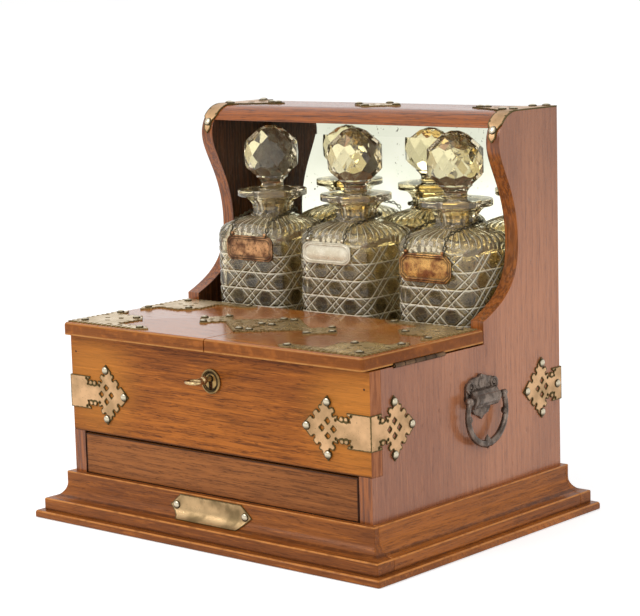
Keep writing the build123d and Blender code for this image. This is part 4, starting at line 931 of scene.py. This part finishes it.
def bead(shape, place, size):
    """A rounded lump of the casting."""
    where = Matrix.Translation(place) @ Matrix.Diagonal((*size, 1.0))
    bmesh.ops.create_uvsphere(shape, u_segments=14, v_segments=8, radius=1.0, matrix=where)


def slab(shape, outline, front, crown):
    """A plate with its outline given in the plane of the case side, domed by the crown."""
    middle = sum((Vector(point) for point in outline), Vector((0, 0))) / len(outline)
    steps = [(1.0, 0.0), (1.0, front - 0.5), (0.97, front - 0.1), (0.9, front)]
    rows = [
        [shape.verts.new((*(middle + (Vector(point) - middle) * share), out)) for point in outline]
        for share, out in steps + [(0.55, front + 0.7 * crown)]
    ]
    tip = shape.verts.new((*middle, front + crown))
    skin(shape, rows, ends="open")
    for step, corner in enumerate(rows[-1]):
        shape.faces.new((corner, rows[-1][(step + 1) % len(outline)], tip))
    shape.faces.new(rows[0][::-1])


def shell(shape):
    """The plate behind the block: a fluted brow, an ear scrolled up on each side, and rays."""
    brow = []
    for step in range(41):
        angle = math.pi * step / 40
        crest = 1.3 * math.exp(-(((angle - math.pi / 2) / 0.13) ** 2))
        swell = brow_rise + 0.9 * abs(math.sin(4.5 * angle + math.pi / 2)) + crest
        across = brow_half * math.cos(angle) * (1 + 0.05 * math.sin(angle))
        brow.append((across, brow_foot + swell * math.sin(angle) ** 0.55))
    slab(shape, brow + shell_foot, 2.6, 0.5)
    for hand_sign in (1, -1):
        curl, thick = [], []
        for step in range(ear_steps + 1):
            share = step / ear_steps
            angle = -math.pi / 2 + 3.3 * math.pi * share
            radius = ear_radius - ear_closing * share
            across = hand_sign * (ear[0] + radius * math.cos(angle))
            curl.append((across, ear[1] + radius * math.sin(angle), 2.9))
            thick.append(1.25 - 0.5 * share)
        swept(shape, curl, thick, 1.1, sides=8)
        bead(shape, (hand_sign * ear[0], ear[1], 3.0), (1.2, 1.2, 1.3))
    for step in range(-3, 4):
        lean = step * 0.32
        foot, head = 9.0, 13.4 if step else 14.6
        reaches = (foot, (foot + head) / 2, head)
        ray = [(math.sin(lean) * reach, math.cos(lean) * reach - 0.6, 2.8) for reach in reaches]
        swept(shape, ray, (0.35, 0.9, 0.5), sides=8)
    bead(shape, (0, 15.6, 2.2), (1.5, 2.4, 1.5))


def fixed_casting(shape):
    """The shell plate, the block on it and the veined leaf under the block."""
    shell(shape)
    steps = [(-along, shrink) for along, shrink in reversed(block_steps)] + list(block_steps)
    loops = [
        [shape.verts.new((along, rise * shrink, out * shrink)) for rise, out in block_section]
        for along, shrink in steps
    ]
    skin(shape, loops)
    leaf = leaf_half + [(0.0, -16.0)] + [(-along, rise) for along, rise in reversed(leaf_half)]
    slab(shape, leaf, 2.4, 1.5)
    for lean in (-0.9, -0.45, 0.0, 0.45, 0.9):
        across, down = math.sin(lean) * 0.9, math.cos(lean)
        vein = [(across * reach, -6.2 - down * reach, 3.3 - 0.06 * reach) for reach in (0.0, 3.4, 6.8)]
        swept(shape, vein, (0.5, 0.6, 0.3), sides=8)


def hanging_casting(shape):
    """The drop ring: thickest low down, knuckled, with a point inside it and a drop below."""
    path, radii = [], []
    for step in range(ring_steps + 1):
        angle = math.pi * (step / ring_steps * 1.36 - 0.18)
        path.append((ring_half * math.cos(angle), ring_middle - ring_half * math.sin(angle), hang_out))
        radii.append(2.15 + 0.6 * math.sin(max(0.0, min(math.pi, angle))))
    top = [(20.6, -0.4, hang_out), (21.5, -1.6, hang_out)]
    path = top + path + [(-along, rise, out) for along, rise, out in reversed(top)]
    swept(shape, path, [2.3, 2.2] + radii + [2.2, 2.3], 0.95)
    low = ring_middle - ring_half
    for (along, rise), size in ring_beads:
        for hand_sign in (1, -1):
            bead(shape, (along * hand_sign, rise, hang_out), size)
    for rises, sizes in (((1.0, 3.6, 6.6), (2.9, 2.2, 0.2)), ((-1.4, -2.9, -3.9), (2.2, 1.5, 0.4))):
        swept(shape, [(0, low + rise, hang_out) for rise in rises], sizes, 0.9, sides=8)


for hand, hand_sign in (("left", -1), ("right", 1)):
    turn = Matrix(((0, 0, hand_sign), (1, 0, 0), (0, 1, 0))).to_4x4()
    stand = Matrix.Translation((hand_sign * case_side, *handle_middle)) @ turn
    for part, casting in (("plate", fixed_casting), ("bail", hanging_casting)):
        name = f"handle_{part}_{hand}"
        shape = bmesh.new()
        casting(shape)
        bmesh.ops.transform(shape, matrix=stand @ Matrix.Scale(0.001, 4), verts=shape.verts)
        bmesh.ops.recalc_face_normals(shape, faces=shape.faces)
        piece_of(settled(shape, f"cast_{name}"), f"cast_{name}", name, handle_iron, smooth=38)

# ---- Mirror ------------------------------------------------------------------------------
# Old silvered glass behind the decanters, a little hazy, with patches of small dark spots
# where damp has reached the silver.
mirror_skin, shader, place = finish_of("mirror_skin")
haze = cloud(place, 14.0, 4.0)
foxing = cloud(place, 260.0, 5.0, 0.65)
patches = cloud(stretched(place, shift=(0.3, 0, 0.1)), 30.0)
spots = times(between(foxing, 0.60, 0.66), between(patches, 0.52, 0.62))
colour = tinted(between(haze, 0.3, 0.7), tone(240, 240, 222), tone(226, 229, 208))
colour = tinted(spots, colour, tone(70, 66, 54))
wire(shader, {"Base Color": colour, "Metallic": 1.0, "Roughness": between(haze, 0.3, 0.7, 0.01, 0.05)})
for slot in frame["nodes"]["mirror"].material_slots:
    slot.material = mirror_skin


# ---- Decanters ---------------------------------------------------------------------------
# Three heavy square bottles of straw-tinted lead glass. The sides are cut with doubled
# crossing lines, level cuts and round windows, the shoulders and necks with flutes.
# Everything on the glass is worked out in millimetres.
shade_levels = (0.192, 0.164)       # metres up, where the windows start to be painted darker, painted shade
neck_levels = (0.216, 0.228)        # metres up, where the shoulders turn into clear necks


def lead_glass(name, clear, cloudy, through):
    """Straw lead glass: the floor and lit side of each cut are painted pale, a painted highlight, and
    its other side dark, painted shade; the windows are painted darker, most of all low down, as
    painted shade, and they stay clear and polished."""
    made, shader, place = finish_of(name)
    cut, window = mark_of(place, "cut"), mark_of(place, "window")
    height = part_of(place, "Z")
    floor = between(cut, 0.3, 0.8, 0.0, 0.92)
    shaded_flank = between(cut, -0.08, -0.4)
    low = between(height, *shade_levels)
    # Painted shade: windows darker low down and the unlit side of each cut dark. Painted highlight: the
    # lit side pale.
    colour = tinted(times(window, line(low, 0.6, 0.15)), clear, tone(92, 84, 62))
    colour = tinted(times(shaded_flank, 0.9), colour, tone(60, 51, 32))
    colour = tinted(floor, colour, cloudy)
    polished = line(window, 0.1, times(between(height, *neck_levels), 0.04))
    seen_through = maths("SUBTRACT", maths("ADD", polished, through), times(floor, 0.62), clamp=True)
    dull = line(floor, 0.2, between(cloud(place, 900.0), 0.35, 0.75, 0.0, 0.03))
    looks = {"Base Color": colour, "Transmission Weight": seen_through, "Roughness": dull, "IOR": 1.5}
    wire(shader, looks)
    raised(shader, cloud(place, 90.0, 2.0), 0.0002)
    return made


# The second colour of each glass is the pale of its painted highlight.
bottle_glass = lead_glass("bottle_glass", tone(242, 227, 190), tone(247, 239, 214), 0.90)
stopper_glass = lead_glass("stopper_glass", tone(243, 230, 196), tone(244, 238, 216), 0.92)

columns = 360
repeat = 40                 # columns and rows in one repeat of the cutting
row_step = 0.665
level_start = -0.7
first_row, last_row = 4, 200
body_half = 35.5
body_corner = 14.0
cut_depth = 0.8
cut_width = 2.6             # columns from the middle of a cut to its lip
pair_gap = 5                # columns from the middle of a pair to each cut
window_depth = 0.5
window_half = (6.4, 5.9)    # along and up
window_start = 29
flute = 10                  # columns in one flute of the shoulder
flute_depth = 0.7
neck_flutes = 12
neck_glint = 0.32           # how strongly the neck's flutes are painted with highlight and shade, for each millimetre cut
slope = 0.31
neck_root = 17.7
neck_level = 148.6
round_over = 9.5
glass_wall = 5.0
well_radius, well_level = 12.0, 142.6   # the foot of the bore, inside
well_turn = 3.5             # from the shoulder's line down to the inner wall
neck_profile = (            # radius, level and depth of the flutes
    (17.9, 148.6, 0.0), (17.9, 149.6, 0.0), (17.1, 150.2, 0.6), (16.6, 151.5, 1.0), (16.4, 153.5, 1.2),
    (16.6, 156.0, 1.2), (17.5, 158.4, 1.1), (19.2, 160.8, 0.8), (21.8, 162.7, 0.4), (25.0, 163.9, 0.0),
    (27.6, 164.4, 0.0), (28.2, 164.9, 0.2), (28.2, 167.0, 0.2), (28.2, 169.0, 0.2), (27.7, 169.6, 0.0),
    (19.2, 170.8, 0.0), (11.6, 171.0, 0.0), (11.0, 170.4, 0.0), (10.4, 160.0, 0.0), (9.6, 150.0, 0.0),
    (9.8, 146.5, 0.0), (12.0, 143.5, 0.0),
)

straight = body_half - body_corner
quarter = 2 * straight + body_corner * math.pi / 2
column_width = 4 * quarter / columns
steps = np.arange(columns)
run = steps * column_width
face_turn = np.floor((run + quarter / 2) / quarter)
along = run - face_turn * quarter
bend = np.clip((np.abs(along) - straight) / body_corner, 0, None)
side = np.sign(along)
swing = face_turn * math.pi / 2


def swung(x, y):
    """Each column's place in plan, turned to the face of the bottle that it is on."""
    return np.stack([x * np.cos(swing) - y * np.sin(swing), x * np.sin(swing) + y * np.cos(swing)], 1)


wall = swung(
    np.where(bend > 0, side * (straight + body_corner * np.sin(bend)), along),
    -(straight + body_corner * np.cos(bend)),
)
outward = swung(side * np.sin(bend), -np.cos(bend))
reach = np.linalg.norm(wall, axis=1)
spoke = wall / reach[:, None]
bearing = np.arctan2(spoke[:, 1], spoke[:, 0])
rings, cut_light_marks, window_marks = [], [], []


def ground(flat, level, cut=0.0, window=0.0):
    """Adds a ring to the bottle: its place in plan, its level, how much of it is cut, plus on a cut's
    lit side for a painted highlight and minus on its other side for painted shade, and how much
    is window."""
    rings.append(np.column_stack([flat, np.broadcast_to(level, (columns,))]))
    cut_light_marks.append(np.broadcast_to(cut, (columns,)))
    window_marks.append(np.broadcast_to(window, (columns,)))


def inset(back):
    """The body's outline moved in from the wall."""
    return wall - outward * np.reshape(back, (-1, 1))


def wrapped(value):
    """How far a place is from the nearest repeat, in columns or rows."""
    return (value + repeat / 2) % repeat - repeat / 2


def cutting(row):
    """How deep the wheel has cut each column of one row, which side of a cut it is on, marked for a
    painted highlight on one side and painted shade on the other, and where the windows are."""
    depth, glint = np.zeros(columns), np.zeros(columns)
    level_gap = np.full(columns, (row + 10) % 20 - 10)
    rising, falling = wrapped(steps - row - window_start - 10), wrapped(steps + row - window_start - 30)
    lines = [(rising - pair_gap, 1), (rising + pair_gap, 1), (falling - pair_gap, -1)]
    for gap, facing in lines + [(falling + pair_gap, -1), (level_gap, -1)]:
        here = np.clip(1 - np.abs(gap) / cut_width, 0, 1)
        glint = np.where(here > depth, np.where(gap * facing >= 0, here, -here), glint)
        depth = np.maximum(depth, here)
    offset = 0 if (row // 20) % 2 == 0 else repeat // 2
    away = np.hypot(
        wrapped(steps - window_start - offset) * column_width / window_half[0],
        (row % 20 - 10) * row_step / window_half[1],
    )
    return depth, glint, np.clip(1 - away**2, 0, 1)


for share, level in ((0.25, 1.0), (0.55, 1.0), (0.8, 0.8), (0.86, 0.0)):
    ground(wall * share, level)
for back, level in ((2.0, 0.0), (0.6, 0.6)):
    ground(inset(back), level)
for row in range(first_row, last_row + 1):
    share = min(1.0, (row - first_row) / 6, (last_row - row) / 3)
    grooves, glint, windows = cutting(row)
    sunk = share * np.maximum(cut_depth * grooves, window_depth * windows)
    clear = share * np.where(grooves > 0, 0, np.minimum(1, 2.5 * windows))
    ground(inset(sunk), level_start + row * row_step, share * glint, clear)
tilt = math.atan(slope)
shoulder_drop = round_over * math.tan((math.pi / 2 - tilt) / 2)
turn_level = neck_level - slope * (reach - neck_root) - shoulder_drop
fluting = np.abs(np.sin(math.pi * steps / flute))
# Each shoulder flute is marked for a painted highlight on one side and painted shade on the other.
crest_glint = np.clip(0.8 - 1.4 * fluting, 0, 1) * np.where(steps % flute < flute / 2, 1, -1)
ground(wall, (level_start + last_row * row_step + turn_level) / 2)
for step in range(9):
    angle = (math.pi / 2 - tilt) * step / 8
    deep = min(1.0, step / 4)
    radius = round_over - flute_depth * fluting * deep
    flat = spoke * (reach - round_over + radius * math.cos(angle))[:, None]
    ground(flat, turn_level + radius * math.sin(angle), crest_glint * deep)
slope_out = reach - round_over + round_over * math.sin(tilt)
for step in range(1, 12):
    share = step / 12
    radius = slope_out + (neck_root - slope_out) * share
    deep = min(1.0, (1 - share) * 3)
    level = neck_level - slope * (radius - neck_root) - flute_depth * fluting * deep
    ground(spoke * radius[:, None], level, crest_glint * deep)
panel = np.abs(np.sin(bearing * neck_flutes / 2))
# The neck's flutes are marked in turn for a painted highlight and painted shade.
for radius, level, depth in neck_profile:
    glint = neck_glint * depth * np.sin(bearing * neck_flutes)
    ground(spoke * (radius - depth * panel)[:, None], level, glint)
inner_reach = np.linalg.norm(inset(glass_wall), axis=1)
for share in (0.3, 0.6, 0.85):
    radius = well_radius + (inner_reach - glass_wall - well_radius) * share
    ground(spoke * radius[:, None], well_level - slope * (radius - well_radius))
inner_turn = well_level - slope * (inner_reach - well_radius) - well_turn
for back, drop in ((3.2, -1.8), (1.0, 0.4), (0.0, 3.0)):
    ground(inset(glass_wall + back), inner_turn - drop)
for back, level in ((0.0, 110.0), (0.0, 60.0), (0.0, 16.0), (0.9, 13.4), (3.0, 12.2), (12.0, 12.0)):
    ground(inset(glass_wall + back), level)

middles = [[0, 0, 1.0], [0, 0, 12.0]]
bottle_points = np.vstack([*rings, middles]) / 1000
grid = np.arange(len(rings) * columns).reshape(len(rings), columns)
around = np.roll(grid, -1, 1)
quads = np.stack([grid[:-1], around[:-1], around[1:], grid[1:]], -1).reshape(-1, 4)
first, last = grid.size, grid.size + 1
bottle_faces = [tuple(quad) for quad in quads.tolist()]
bottle_faces += [(first, after, step) for step, after in zip(grid[0].tolist(), around[0].tolist())]
bottle_faces += [(last, step, after) for step, after in zip(grid[-1].tolist(), around[-1].tolist())]

# The stoppers are globes cut all over in lozenges, on a ground plug.
globe_radius = 23.2
globe_level = 198.0
globe_facets = 10
globe_face = 21.3           # the globe's middle to each lozenge
lozenge_rise = 0.44         # half a lozenge's height over its distance from the middle
table_distance = 1.07
plug_profile = (
    (0.0, 153.0), (9.4, 153.0), (9.74, 153.6), (10.9, 170.9), (9.6, 171.5), (9.0, 172.4), (8.8, 174.2),
    (9.6, 176.0), (11.0, 177.8), (12.9, 179.4), (12.0, 184.0), (0.0, 190.0),
)


def globe_shape():
    """The globe as the space inside its cut faces: a girdle of tall lozenges that touch, two
    rows of kites between them, two rows of broad faces above and below, and small tables."""
    half_turn = math.pi / globe_facets
    first_rise = math.atan(math.sin(half_turn) ** 2 / math.cos(half_turn) / lozenge_rise)
    rows = (
        (0.0, 0, 1.0),
        (first_rise, 1, math.cos(first_rise) / math.cos(half_turn)),
        (2 * math.atan(lozenge_rise), 0, 1.0),
        (math.radians(68), 1, 1.05),
    )
    cuts = [Vector((0, 0, 1 / table_distance)), Vector((0, 0, -1 / table_distance))]
    for latitude, offset, distance in rows:
        for sign in (1, -1) if latitude else (1,):
            for step in range(globe_facets):
                turn = half_turn * (2 * step + offset)
                level_out = math.cos(latitude) / distance
                rise = sign * math.sin(latitude) / distance
                cuts.append(Vector((math.cos(turn) * level_out, math.sin(turn) * level_out, rise)))
    hull = bmesh.new()
    for cut in cuts:
        hull.verts.new(cut / globe_face)
    bmesh.ops.convex_hull(hull, input=hull.verts)
    hull.normal_update()
    corners = [face.normal / face.normal.dot(face.verts[0].co) for face in hull.faces]
    hull.free()
    globe = bmesh.new()
    for corner in corners:
        globe.verts.new(corner * min(1.0, globe_radius / corner.length))
    bmesh.ops.remove_doubles(globe, verts=globe.verts, dist=0.02)
    bmesh.ops.convex_hull(globe, input=globe.verts)
    loose = [vertex for vertex in globe.verts if not vertex.link_faces]
    bmesh.ops.delete(globe, geom=loose, context="VERTS")
    flattened(globe, 2.0)
    bmesh.ops.scale(globe, vec=(0.001,) * 3, verts=globe.verts)
    bmesh.ops.translate(globe, vec=(0, 0, globe_level / 1000), verts=globe.verts)
    return globe


plug = turned([(radius / 1000, level / 1000) for radius, level in plug_profile], 48)
stopper_shape = carved(settled(plug, "plug"), settled(globe_shape(), "globe"), "UNION", "stopper")
for name in ("left", "middle", "right"):
    low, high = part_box("decanter_" + name)
    stand = Matrix.Translation(((low[0] + high[0]) / 2, (low[1] + high[1]) / 2, low[2]))
    bottle = bpy.data.meshes.new("bottle_" + name)
    bottle.from_pydata(bottle_points.tolist(), [], bottle_faces)
    for title, marks in (("cut", cut_light_marks), ("window", window_marks)):
        values = np.concatenate([*marks, np.zeros(len(middles))])
        bottle.attributes.new(title, "FLOAT", "POINT").data.foreach_set("value", values)
    stopper = stopper_shape.copy()
    for mesh in (bottle, stopper):
        mesh.transform(stand)
    piece_of(bottle, f"cut_bottle_{name}", f"decanter_{name}", bottle_glass, smooth=14)
    piece_of(stopper, f"globe_stopper_{name}", f"stopper_{name}", stopper_glass, smooth=9)
bpy.data.meshes.remove(stopper_shape)

# ---- Bottle labels -----------------------------------------------------------------------
# Bare plated labels with raised borders hang by a loop at each top corner. Two have worn
# through to the copper and the middle one is still pale.
label_half = 24.4
lug_out = 0.0173            # a loop from the label's middle
lug_drop = 0.0014           # its middle under the label's top, and out from its back
lug_radius, lug_thick, lug_broad = 0.00115, 0.00028, 0.0012
borders = (                 # in from the rim, out from the back, and how dark
    (0.0, 0.0, 1.0), (0.0, 0.8, 1.0), (0.3, 1.1, 0.3), (0.9, 1.15, 0.2), (1.2, 0.8, 1.0),
    (1.6, 0.8, 1.0), (1.9, 1.05, 0.3), (2.5, 1.05, 0.2), (2.9, 0.7, 1.0), (3.5, 0.7, 0.5),
    (5.0, 0.95, 0.0), (8.0, 1.15, 0.0),
)


def label_outline(half_x, half_y, cut, bulge, rounding):
    """A label's rim as points about its middle, with cut or rounded corners."""
    points = []
    for corner, (sign_x, sign_y) in enumerate(((1, 1), (-1, 1), (-1, -1), (1, -1))):
        for step in range(9):
            share = step / 8
            angle = math.pi / 2 * share
            parts = (math.cos(angle), math.sin(angle)) if rounding else (1 - share, share)
            across, rise = reversed(parts) if corner % 2 else parts
            x = sign_x * (half_x - cut + cut * across)
            y = sign_y * (half_y - cut + cut * rise)
            slack_x, slack_y = 1 - 0.8 * bulge * (y / half_y) ** 2, 1 - bulge * (x / half_x) ** 2
            points.append((x * slack_x, y * slack_y))
    return points


def closed_link(shape, radius, thick, broad, turns, sides, stretch=0.0, stand=Matrix()):
    """A ring of metal, with an oval section and drawn out along X."""
    loops = []
    for turn in range(turns):
        angle = 2 * math.pi * turn / turns
        drawn = stretch * (1 if math.cos(angle) > 0.01 else -1 if math.cos(angle) < -0.01 else 0)
        loop = []
        for part in range(sides):
            tube = 2 * math.pi * part / sides
            out = radius + thick * math.cos(tube)
            spot = (out * math.cos(angle) + drawn, out * math.sin(angle), broad * math.sin(tube))
            loop.append(shape.verts.new(stand @ Vector(spot)))
        loops.append(loop)
    skin(shape, loops, ends="joined")


def label_skin(name, pale, dark, blot, rough, edge_dark, relief=0.0001):
    """Worn plate: clean in the middle, blotched, with dark borders."""
    made, shader, place = finish_of(name)
    fine = cloud(place, 600.0, 4.0, 0.65)
    colour = tinted(between(cloud(place, 120.0, 4.0, 0.6), 0.35, 0.65), pale, dark)
    colour = tinted(between(fine, 0.55, 0.64, 0.0, blot), colour, tone(66, 52, 40))
    colour = tinted(times(mark_of(place, "edge"), edge_dark), colour, tone(62, 48, 36))
    dull = between(fine, 0.3, 0.7, rough * 0.8, rough * 1.5)
    wire(shader, {"Base Color": colour, "Metallic": 0.9, "Roughness": dull})
    raised(shader, fine, relief)
    return made


worn_copper = label_skin("worn_copper", tone(200, 150, 104), tone(104, 68, 46), 0.85, 0.34, 0.9)
gilt_copper = label_skin("gilt_copper", tone(214, 164, 96), tone(128, 78, 48), 0.6, 0.26, 0.95)
pale_plate = label_skin("pale_plate", tone(228, 219, 197), tone(210, 199, 174), 0.0, 0.3, 0.3, 0.00002)
label_makes = {             # height, corners, bulge of the sides, rounded or cut, and skin
    "left": (20.0, 5.5, 0.0, True, worn_copper),
    "middle": (18.0, 5.0, 0.10, True, pale_plate),
    "right": (21.5, 5.0, 0.0, False, gilt_copper),
}
for name, (tall, cut, bulge, rounding, label_metal) in label_makes.items():
    low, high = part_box("label_" + name)
    middle_x, middle_z, back_y = (low[0] + high[0]) / 2, low[2] + tall / 2000, high[1]
    shape = bmesh.new()
    edge = shape.verts.layers.float.new("edge")
    loops = []
    for border, lift, dark in borders:
        rim = []
        for x, y in label_outline(label_half, tall / 2, cut, bulge, rounding):
            x *= 1 - border / label_half
            y *= 1 - border / (tall / 2)
            vertex = shape.verts.new((middle_x + x / 1000, back_y - lift / 1000, middle_z + y / 1000))
            vertex[edge] = dark
            rim.append(vertex)
        loops.append(rim)
    skin(shape, loops)
    bmesh.ops.remove_doubles(shape, verts=shape.verts, dist=1e-6)
    for side in (-1, 1):
        where = Vector((middle_x + side * lug_out, back_y - lug_drop, high[2] - lug_drop))
        stand = Matrix.Translation(where) @ Matrix.Rotation(math.pi / 2, 4, "Y")
        closed_link(shape, lug_radius, lug_thick, lug_broad, 16, 6, stand=stand)
    bmesh.ops.recalc_face_normals(shape, faces=shape.faces)
    mesh = settled(shape, "label_plate_" + name)
    piece_of(mesh, f"bottle_label_{name}", f"label_{name}", label_metal, smooth=35)

# ---- Chains ------------------------------------------------------------------------------
# Small oval links of blackened brass wire, each a quarter turn from the last, run from a
# label's two loops up over the shoulder and round the bottle's neck.
chain_metal = metal("chain_metal", tone(96, 88, 66), tone(46, 42, 34), 0.4, speck=900.0)
link_long = 0.0046
link_wide = 0.0032
link_wire = 0.00048
link_pitch = 0.0037
chain_start = 0.0185        # from the label's middle
chain_spread = 18.9         # half the chain's width where it crosses the shoulder
chain_off_glass = 1.9       # the middle of its wire
chain_level = 0.1525        # its loop round the neck
around_neck = 0.0194
label_offsets = {"left": 7.0, "middle": -0.5, "right": -2.0}

link_stretch = (link_long - link_wide) / 2
shape = bmesh.new()
closed_link(shape, link_wide / 2 - link_wire, link_wire, link_wire, 12, 5, link_stretch)
bmesh.ops.recalc_face_normals(shape, faces=shape.faces)
link_pattern = placed("chain_link", settled(shape, "chain_link"))

chain_tree, given = tree_of("chain_links", [("Link", "Object"), ("Pitch", "Float")])
link = node(chain_tree, "GeometryNodeObjectInfo", {"Object": given["Link"]}).outputs["Geometry"]
wire_line = node(chain_tree, "GeometryNodeMeshToCurve", {"Mesh": given["Geometry"]}).outputs[0]
spaced = {"Curve": wire_line, "Length": given["Pitch"]}
posts = node(chain_tree, "GeometryNodeCurveToPoints", spaced, mode="LENGTH").outputs
every_other = maths("MODULO", node(chain_tree, "GeometryNodeInputIndex").outputs[0], 2.0)
quarter_turns = line(every_other, math.pi / 2, math.pi / 4)
twist = node(chain_tree, "ShaderNodeCombineXYZ", {"Z": quarter_turns}).outputs[0]
way = posts["Rotation"]
for turn in (twist, (0.0, -math.pi / 2, 0.0)):
    turns = {"Rotation": way, "Rotate By": turn}
    way = node(chain_tree, "FunctionNodeRotateRotation", turns, rotation_space="LOCAL").outputs[0]
strung = {"Points": posts["Points"], "Instance": link, "Rotation": way}
close_tree(chain_tree, node(chain_tree, "GeometryNodeInstanceOnPoints", strung).outputs[0], chain_metal)

bend_out = body_half - round_over
bend_level = neck_level - slope * (body_half - neck_root) - shoulder_drop
bend_reach = round_over + chain_off_glass
over = [
    (bend_out + bend_reach * math.cos(angle), bend_level + bend_reach * math.sin(angle))
    for angle in (math.radians(35), math.pi / 2 - tilt)
]
for name, offset in label_offsets.items():
    low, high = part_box("decanter_" + name)
    label_low, label_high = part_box("label_" + name)
    centre_x, centre_y, foot_z = (low[0] + high[0]) / 2, (low[1] + high[1]) / 2, low[2]
    label_x = (label_low[0] + label_high[0]) / 2
    neck_z = foot_z + chain_level
    halves = []
    for side in (1, -1):
        down_x = label_x + side * chain_start
        shoulder_x = centre_x + (0.75 * offset + side * chain_spread) / 1000
        halves.append([
            (down_x, label_high[1] - lug_drop, label_high[2] - lug_drop),
            (down_x, centre_y - over[0][0] / 1000, foot_z + over[0][1] / 1000),
            (shoulder_x, centre_y - over[1][0] / 1000, foot_z + over[1][1] / 1000),
            (centre_x + side * around_neck, centre_y, neck_z),
        ])
    behind = [
        (centre_x + around_neck * math.cos(angle), centre_y + around_neck * math.sin(angle), neck_z)
        for angle in (math.pi * step / 12 for step in range(1, 12))
    ]
    path = halves[0] + behind + halves[1][::-1]
    route = bpy.data.meshes.new("chain_route_" + name)
    route.from_pydata(path, [(number, number + 1) for number in range(len(path) - 1)], [])
    mesh = grown(route, chain_tree, {"Link": link_pattern, "Pitch": link_pitch}, "label_chain_" + name)
    piece_of(mesh, f"neck_chain_{name}", f"chain_{name}", smooth=60)
bpy.data.objects.remove(link_pattern)
